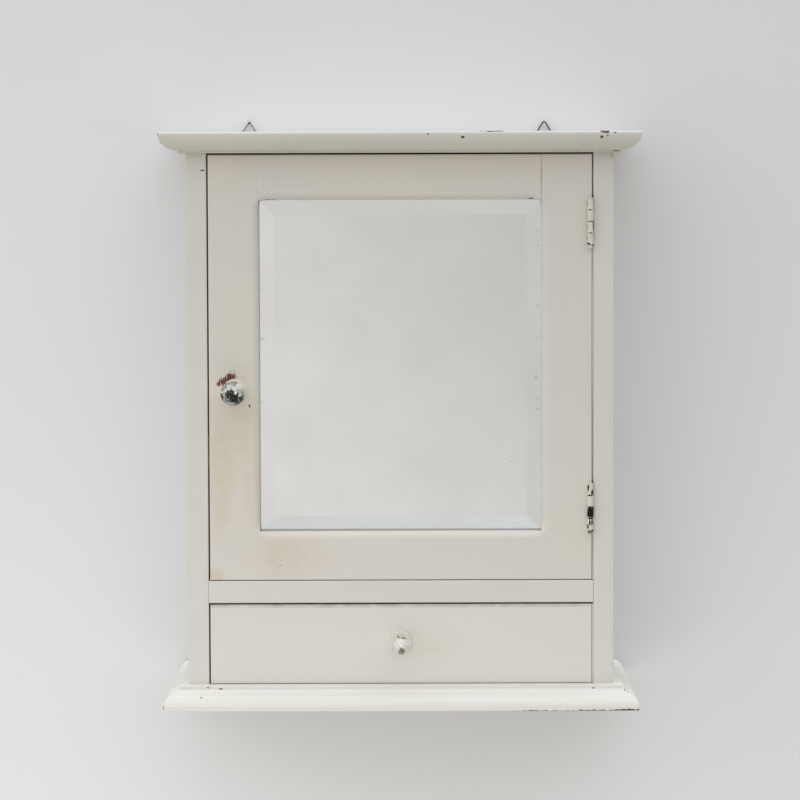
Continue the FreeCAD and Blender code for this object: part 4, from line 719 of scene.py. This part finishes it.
def wood(name, along, spacing, light, dark, wild, profile="SAW"):
    """Grain along an axis, its rings `spacing` apart."""
    material, tree, shader, place = begin(name)
    squeeze = [1.0, 1.0, 1.0]
    squeeze["XYZ".index(along)] = 0.06
    heart = [0.09, 0.11, 0.13]
    drawn = add(tree, "Mapping", {"Vector": place, "Location": heart, "Scale": squeeze})
    warp = add(tree, "TexNoise", {"Vector": drawn, "Scale": 14.0, "Detail": 3.0}, "Color")
    swerve = (wild, wild, wild)
    bent = add(tree, "VectorMath", {0: warp, 1: swerve, 2: drawn}, operation="MULTIPLY_ADD")
    rings = add(tree, "TexWave", {
        "Vector": bent,
        "Scale": WAVE / spacing,
        "Distortion": 1.2,
        "Detail": 2.0,
    }, "Fac", wave_type="RINGS", rings_direction=along, wave_profile=profile)
    fine = [900.0, 900.0, 900.0]
    fine["XYZ".index(along)] = 12.0
    fibres = add(tree, "Mapping", {"Vector": place, "Scale": fine})
    pores = noise(tree, fibres, 1.0, 3.0)
    aged = noise(tree, place, 12.0, 3.0)
    late = remap(tree, rings, (0.15, 1.0))
    colour = mix(tree, late, light, dark)
    lines = remap(tree, pores, (0.45, 0.8), (0.0, 0.45))
    colour = mix(tree, lines, colour, dark)
    brown = remap(tree, aged, (0.4, 0.7), (0.0, 0.3))
    colour = mix(tree, brown, colour, "#8A6A45")
    bump = add(tree, "Bump", {"Height": pores, "Distance": 0.0001, "Strength": 0.5})
    feed(tree, shader, {"Base Color": colour, "Roughness": 0.62, "Normal": bump})
    return material


pine_x = wood("aged_pine_across", "X", 0.0045, "#CFA979", "#A87D4E", 0.010)
pine_y = wood("aged_pine_deep", "Y", 0.0040, "#CDA778", "#A67B4D", 0.010)
pine_z = wood("aged_pine_upright", "Z", 0.0040, "#CDA778", "#A67B4D", 0.010)
ply_z = wood("peeled_plywood_upright", "Z", 0.0110, "#C6A47B", "#AD8659", 0.040, "SIN")
ply_x = wood("peeled_plywood_across", "X", 0.0110, "#C6A47B", "#AD8659", 0.040, "SIN")
cover(pine_x, "shelf_lower", "shelf_upper", "drawer_back", "mirror_bead_top", "mirror_bead_bottom")
cover(pine_x, "drawer_stop_left", "drawer_stop_right")
cover(pine_y, "drawer_side_left", "drawer_side_right")
for which in ("lower", "upper"):
    cover(pine_y, f"cleat_{which}_left", f"cleat_{which}_right")
cover(pine_z, "door_stop", "mirror_bead_left", "mirror_bead_right")
cover(ply_z, "back_panel", "mirror_backing")
cover(ply_x, "drawer_bottom")
print("grain runs along each board's length")

# %% [markdown]
# ## Small metal
#
# The ball catch and its plate are brass, dulled to ochre. Screws and nails are plain steel that
# has greyed, with a bloom of rust. The hanging rings are bent from annealed wire, which is dark
# with its own scale.

# %% Brass, steel and wire
def small_metal(name, bright, dull, rough, grain):
    """A metal under an uneven film of its own tarnish."""
    material, tree, shader, place = begin(name)
    film = noise(tree, place, grain, 4.0, 0.6)
    spread = remap(tree, film, (0.38, 0.64))
    colour = mix(tree, spread, bright, dull)
    feed(tree, shader, {
        "Base Color": colour,
        "Metallic": remap(tree, spread, (0.0, 1.0), (1.0, 0.7)),
        "Roughness": remap(tree, spread, (0.0, 1.0), (rough, rough + 0.2)),
        "Normal": add(tree, "Bump", {"Height": film, "Distance": 0.00005, "Strength": 0.5}),
    })
    return material


brass = small_metal("dulled_brass", "#C7A15C", "#8A6E3E", 0.28, 260)
steel = small_metal("greyed_steel", "#9C9992", "#6B5A4A", 0.36, 420)
wire = small_metal("annealed_steel_wire", "#6E6C68", "#37322D", 0.40, 500)
grey_wire = small_metal("painted_over_steel_wire", "#B9B7B0", "#7E7B74", 0.50, 700)
cover(brass, "catch_barrel", "catch_ball", "strike_plate", "strike_screws")
for name, node in NODES.items():
    if node.material_slots and node.material_slots[0].material.name == "steel_fasteners":
        cover(steel, name)
cover(wire, "hanger_strap_left", "hanger_strap_right")
print("metals", [material.name for material in (brass, steel, wire)])

# %% [markdown]
# ## Hanging rings
#
# A hanging ring is one length of wire bent round into a triangle, its foot held in a strap
# behind the cornice. The frame's ring is stout; the real wire is a millimetre and a half thick.
# A triangle is a circle with three points. Its corners are rounded with a vertex bevel, and then
# the outline becomes a curve, which Blender can give a round section. The left ring has slid a
# little in its strap, and somebody's picture wire is still twisted round its tip.

# %% Bend the rings
WIRE = 0.75 * MM
CORNER = 2.4 * MM
SLID = 2.5 * MM


def hanging_ring(side, along, tip, finish):
    """A ring of thin wire whose tip is at that height, slid `along` its strap."""
    low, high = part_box(f"hanger_ring_{side}")
    thick = (high.y - low.y) / 2
    foot = low.z + thick
    centre = ((low.x + high.x) / 2 + along, (low.y + high.y) / 2, foot)
    bpy.ops.object.select_all(action="DESELECT")
    bpy.ops.mesh.primitive_circle_add(
        vertices=3, radius=10 * MM, fill_type="NGON", location=centre, rotation=UPRIGHT
    )
    ring = bpy.context.object
    ring.name = f"wire_ring_{side}"
    bpy.ops.object.transform_apply(location=True, rotation=True, scale=True)
    bpy.ops.object.mode_set(mode="EDIT")
    bpy.ops.mesh.select_all(action="SELECT")
    bpy.ops.mesh.bevel(offset=CORNER, segments=6, affect="VERTICES")
    bpy.ops.mesh.delete(type="ONLY_FACE")
    bpy.ops.object.mode_set(mode="OBJECT")
    # Stretch the outline so that it stands on its foot and just reaches the tip.
    points = [vertex.co for vertex in ring.data.vertices]
    least, most = min(p.z for p in points), max(p.z for p in points)
    wide = max(p.x for p in points) - min(p.x for p in points)
    bpy.ops.object.mode_set(mode="EDIT")
    bpy.ops.mesh.select_all(action="SELECT")
    bpy.ops.transform.translate(value=(0, 0, foot - least))
    grow = ((high.x - low.x - 2 * thick) / wide, 1, (tip - WIRE - foot) / (most - least))
    bpy.ops.transform.resize(value=grow, center_override=centre)
    bpy.ops.object.mode_set(mode="OBJECT")
    bpy.ops.object.convert(target="CURVE")
    ring.data.bevel_depth = WIRE
    ring.data.bevel_resolution = 3
    bpy.ops.object.convert(target="MESH")
    bpy.ops.object.shade_smooth()
    ring.data.materials.clear()
    ring.data.materials.append(finish)
    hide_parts(f"hanger_ring_{side}")
    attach(ring, f"ring_{side}")
    return ring


ring_low, ring_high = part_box("hanger_ring_left")
# The twist of picture wire rises as high as the frame's ring, and the left tip is under it.
left_tip = ring_high.z - 0.9 * MM
rings = [
    hanging_ring("left", SLID, left_tip, grey_wire),
    hanging_ring("right", 0.0, ring_high.z, wire),
]
print("rings", [len(ring.data.polygons) for ring in rings], "faces")

# %% Twist the picture wire on
THIN, TURNS, PITCH = 0.42 * MM, 2.5, 0.9 * MM
tip_middle = (ring_low + ring_high) / 2 + Vector((SLID, 0, 0))
tip_middle.z = left_tip - WIRE
bpy.ops.object.select_all(action="DESELECT")
bpy.ops.mesh.primitive_circle_add(vertices=8, radius=THIN, location=tip_middle, rotation=UPRIGHT)
twist = bpy.context.object
twist.name = "picture_wire_twist"
bpy.ops.object.transform_apply(location=False, rotation=True, scale=True)
bpy.ops.object.mode_set(mode="EDIT")
bpy.ops.mesh.select_all(action="SELECT")
bpy.ops.transform.translate(value=(-TURNS / 2 * PITCH, 0, -(WIRE + THIN * 0.7)))
bpy.ops.object.mode_set(mode="OBJECT")
bpy.ops.object.modifier_add(type="SCREW")
wind = twist.modifiers[-1]
wind.axis = "X"
wind.angle = math.radians(360 * TURNS)
wind.screw_offset = TURNS * PITCH
wind.steps = wind.render_steps = int(14 * TURNS)
bpy.ops.object.modifier_apply(modifier=wind.name)
bpy.ops.object.transform_apply(location=True, rotation=True, scale=True)
bpy.ops.object.mode_set(mode="EDIT")
bpy.ops.mesh.select_all(action="DESELECT")
bpy.ops.mesh.select_non_manifold()
bpy.ops.mesh.fill_holes(sides=0)
bpy.ops.mesh.select_all(action="SELECT")
bpy.ops.mesh.normals_make_consistent(inside=False)
bpy.ops.object.mode_set(mode="OBJECT")
bpy.ops.object.shade_smooth()
twist.data.materials.append(wire)
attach(twist, "ring_left")
print("twist", len(twist.data.polygons), "faces")

# %% [markdown]
# ## Slotted screws
#
# The screws are old slotted ones, and no two stop with their slots at the same angle. The frame
# has them as plain shanks with flat heads. The slot is what makes them screws to the eye, so a
# copy of each set is merged, parted into single screws, and a bar is cut out of each head with
# a Boolean at an angle of its own.

# %% Cut the slots
WELD, FLAT = 0.01 * MM, 0.05 * MM
# Each slot is turned on from the last by the golden angle, in radians, so no two agree.
GOLDEN = 2.399


def slotted(node, body, finish, facing, wide, deep):
    """A set of screws with a slot across each head, which faces along `facing`."""
    out = Vector(facing)
    bpy.ops.object.select_all(action="DESELECT")
    screws = bpy.data.objects.new(node.replace("screws", "slotted_screws"), NODES[node].data.copy())
    bpy.context.scene.collection.objects.link(screws)
    bpy.context.view_layer.objects.active = screws
    screws.select_set(True)
    bpy.ops.object.mode_set(mode="EDIT")
    bpy.ops.mesh.select_all(action="SELECT")
    bpy.ops.mesh.remove_doubles(threshold=WELD)
    bpy.ops.mesh.separate(type="LOOSE")
    bpy.ops.object.mode_set(mode="OBJECT")
    singles = list(bpy.context.selected_objects)
    for number, single in enumerate(singles):
        points = [vertex.co for vertex in single.data.vertices]
        face_at = max(p.dot(out) for p in points)
        rim = [p for p in points if p.dot(out) > face_at - FLAT]
        middle = sum(rim, Vector()) / len(rim)
        head = 2 * max((p - middle).length for p in rim)
        bpy.ops.object.select_all(action="DESELECT")
        bpy.ops.mesh.primitive_cube_add(size=1, location=middle)
        bar = bpy.context.object
        bar.scale = (head * 1.3, wide, 2 * deep)
        turn = Matrix.Rotation(0.4 + GOLDEN * number, 4, "Z")
        bar.rotation_euler = (out.to_track_quat("Z", "Y").to_matrix().to_4x4() @ turn).to_euler()
        bpy.ops.object.select_all(action="DESELECT")
        bpy.context.view_layer.objects.active = single
        single.select_set(True)
        cut = single.modifiers.new("slot", "BOOLEAN")
        cut.object = bar
        cut.operation = "DIFFERENCE"
        cut.solver = "EXACT"
        bpy.ops.object.modifier_apply(modifier=cut.name)
        bpy.data.objects.remove(bar)
    bpy.ops.object.select_all(action="DESELECT")
    for single in singles:
        single.select_set(True)
    bpy.context.view_layer.objects.active = screws
    bpy.ops.object.join()
    bpy.ops.object.shade_smooth_by_angle(angle=math.radians(30))
    screws.data.materials.clear()
    screws.data.materials.append(finish)
    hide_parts(node)
    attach(screws, body)
    print(screws.name, len(singles), "screws,", len(screws.data.polygons), "faces")


slotted("base_screws", "case", steel, (0, 0, -1), 1.1 * MM, 1.1 * MM)
slotted("hanger_screws", "case", steel, (0, 1, 0), 0.7 * MM, 0.5 * MM)
slotted("hinge_case_screws", "case", steel, (-1, 0, 0), 0.8 * MM, 0.6 * MM)
slotted("hinge_door_screws", "door", steel, (1, 0, 0), 0.8 * MM, 0.6 * MM)
slotted("strike_screws", "case", brass, (1, 0, 0), 0.6 * MM, 0.4 * MM)

# %% [markdown]
# ## Wall, floor and light
#
# The cabinet hangs on a pale wall in even indoor light. Nearly all of it is the room itself: a
# bright ceiling that fades to a dim floor, so what faces up is lighter than what faces out, and
# the cornice shades the rail below it. Four weak soft lamps stand for windows to the left and
# for the light that the floor sends back. The wall and the floor are seen by the camera and in
# reflections, but let other rays through, so that the room's light reaches the back of the
# cabinet too when somebody walks round it.

# %% The wall and the floor
def backdrop(name, size, centre, turn, colour):
    """A painted plane that is there only for the eye and for reflections."""
    bpy.ops.object.select_all(action="DESELECT")
    bpy.ops.mesh.primitive_plane_add(size=size, location=centre, rotation=turn)
    plane = bpy.context.object
    plane.name = name
    material, tree, shader, _ = begin(name + "_paint")
    feed(tree, shader, {"Base Color": linear(colour), "Roughness": 0.9, "Specular IOR Level": 0.1})
    seen = add(tree, "Math", {
        0: add(tree, "LightPath", output="Is Camera Ray"),
        1: add(tree, "LightPath", output="Is Glossy Ray"),
    }, operation="MAXIMUM")
    behind = add(tree, "NewGeometry", output="Backfacing")
    front_side = add(tree, "Math", {0: 1.0, 1: behind}, operation="SUBTRACT")
    shown = add(tree, "Math", {0: seen, 1: front_side}, operation="MULTIPLY")
    clear = add(tree, "BsdfTransparent")
    mixed = add(tree, "MixShader", {0: shown, 1: clear, 2: shader.outputs[0]})
    feed(tree, tree.nodes["Material Output"], {"Surface": mixed})
    plane.data.materials.append(material)


ROOM, WALL_AT, FLOOR_AT = 12, 0.0968, -1.1
WALL_PAINT = "#E8E8E9"
backdrop("wall", ROOM, (0, WALL_AT, 0), UPRIGHT, WALL_PAINT)
backdrop("floor", ROOM, (0, 0, FLOOR_AT), (0, 0, 0), "#C6C5C2")
print("wall and floor")

# %% The lamps
def lamp(name, place, aim, size, watts):
    """A soft rectangular light."""
    light = bpy.data.lights.new(name, "AREA")
    light.shape = "RECTANGLE"
    light.size, light.size_y = size
    light.energy = watts
    holder = bpy.data.objects.new(name, light)
    bpy.context.scene.collection.objects.link(holder)
    holder.location = place
    holder.rotation_euler = (Vector(aim) - Vector(place)).to_track_quat("-Z", "Y").to_euler()
    holder.visible_glossy = False


lamp("window", (-2.0, -1.2, 0.9), (0, 0, 0.3), (1.6, 1.6), 6.3)
lamp("low_window", (-0.9, -1.3, -0.1), (0, 0, 0.1), (1.0, 0.8), 1.0)
lamp("low", (-0.15, -1.0, -0.30), (0, 0, 0.1), (0.9, 0.4), 1.0)
lamp("from_floor", (-0.15, -0.55, -0.42), (0, 0.1, 0.05), (1.4, 0.6), 1.6)

# %% [markdown]
# The mirror shows the room behind the camera: a blurred, nearly even brightness that falls off
# to the upper right. A world can answer glossy rays by their direction and keep its plain fill
# for the rest. The slope is steep only in the part of the room that the flat glass shows; beyond
# it the bevel and the knob see walls of a more even tone, and a bright ceiling. Daylight from
# above is a little cooler than what the floor sends back. The eye, looking past the cabinet, sees
# only a plain pale room.

# %% The room
world = bpy.data.worlds.new("room")
world.use_nodes = True
tree = world.node_tree
fill = tree.nodes["Background"]
direction = add(tree, "TexCoord", output="Generated")
rise = add(tree, "SeparateXYZ", {0: direction}, "Z")
ceiling = remap(tree, rise, (0.0, 1.0), (0.25, 2.00))
bounce = remap(tree, rise, (0.0, -1.0), (0.0, 0.30))
strength = add(tree, "Math", {0: ceiling, 1: bounce})
coolness = remap(tree, rise, (-0.6, 0.8))
daylight = mix(tree, coolness, "#FFFAEE", "#F4FAFF")
feed(tree, fill, {"Color": daylight, "Strength": strength})
# Where the mirrored room gets brighter, the reading in its middle, and the most it strays.
BRIGHTER, LEVEL, LIMIT = (-1.22, 0, -0.92), 0.0736, 0.25
slope = add(tree, "VectorMath", {0: direction, 1: BRIGHTER}, "Value", operation="DOT_PRODUCT")
tilted = remap(tree, slope, (LEVEL - LIMIT, LEVEL + LIMIT), (-LIMIT, LIMIT))
near = patch(tree, direction, (0, -1, -0.08), (0.2, 10, 0.2))
fade = remap(tree, near, (0.20, 0.55), (0.28, 1.0))
above = remap(tree, rise, (0.11, 0.9), (0.725, 2.1))
glow = add(tree, "Math", {0: tilted, 1: fade, 2: above}, operation="MULTIPLY_ADD")
seen_room = add(tree, "Background", {"Color": linear("#FFFFFC"), "Strength": glow})
glossy = add(tree, "LightPath", output="Is Glossy Ray")
lit = add(tree, "MixShader", {0: glossy, 1: fill.outputs[0], 2: seen_room})
pale = add(tree, "Background", {"Color": linear(WALL_PAINT)})
straight = add(tree, "LightPath", output="Is Camera Ray")
shown = add(tree, "MixShader", {0: straight, 1: lit, 2: pale})
feed(tree, tree.nodes["World Output"], {"Surface": shown})
bpy.context.scene.world = world
bpy.context.scene.view_settings.view_transform = "Standard"
print("room light from", world.name)
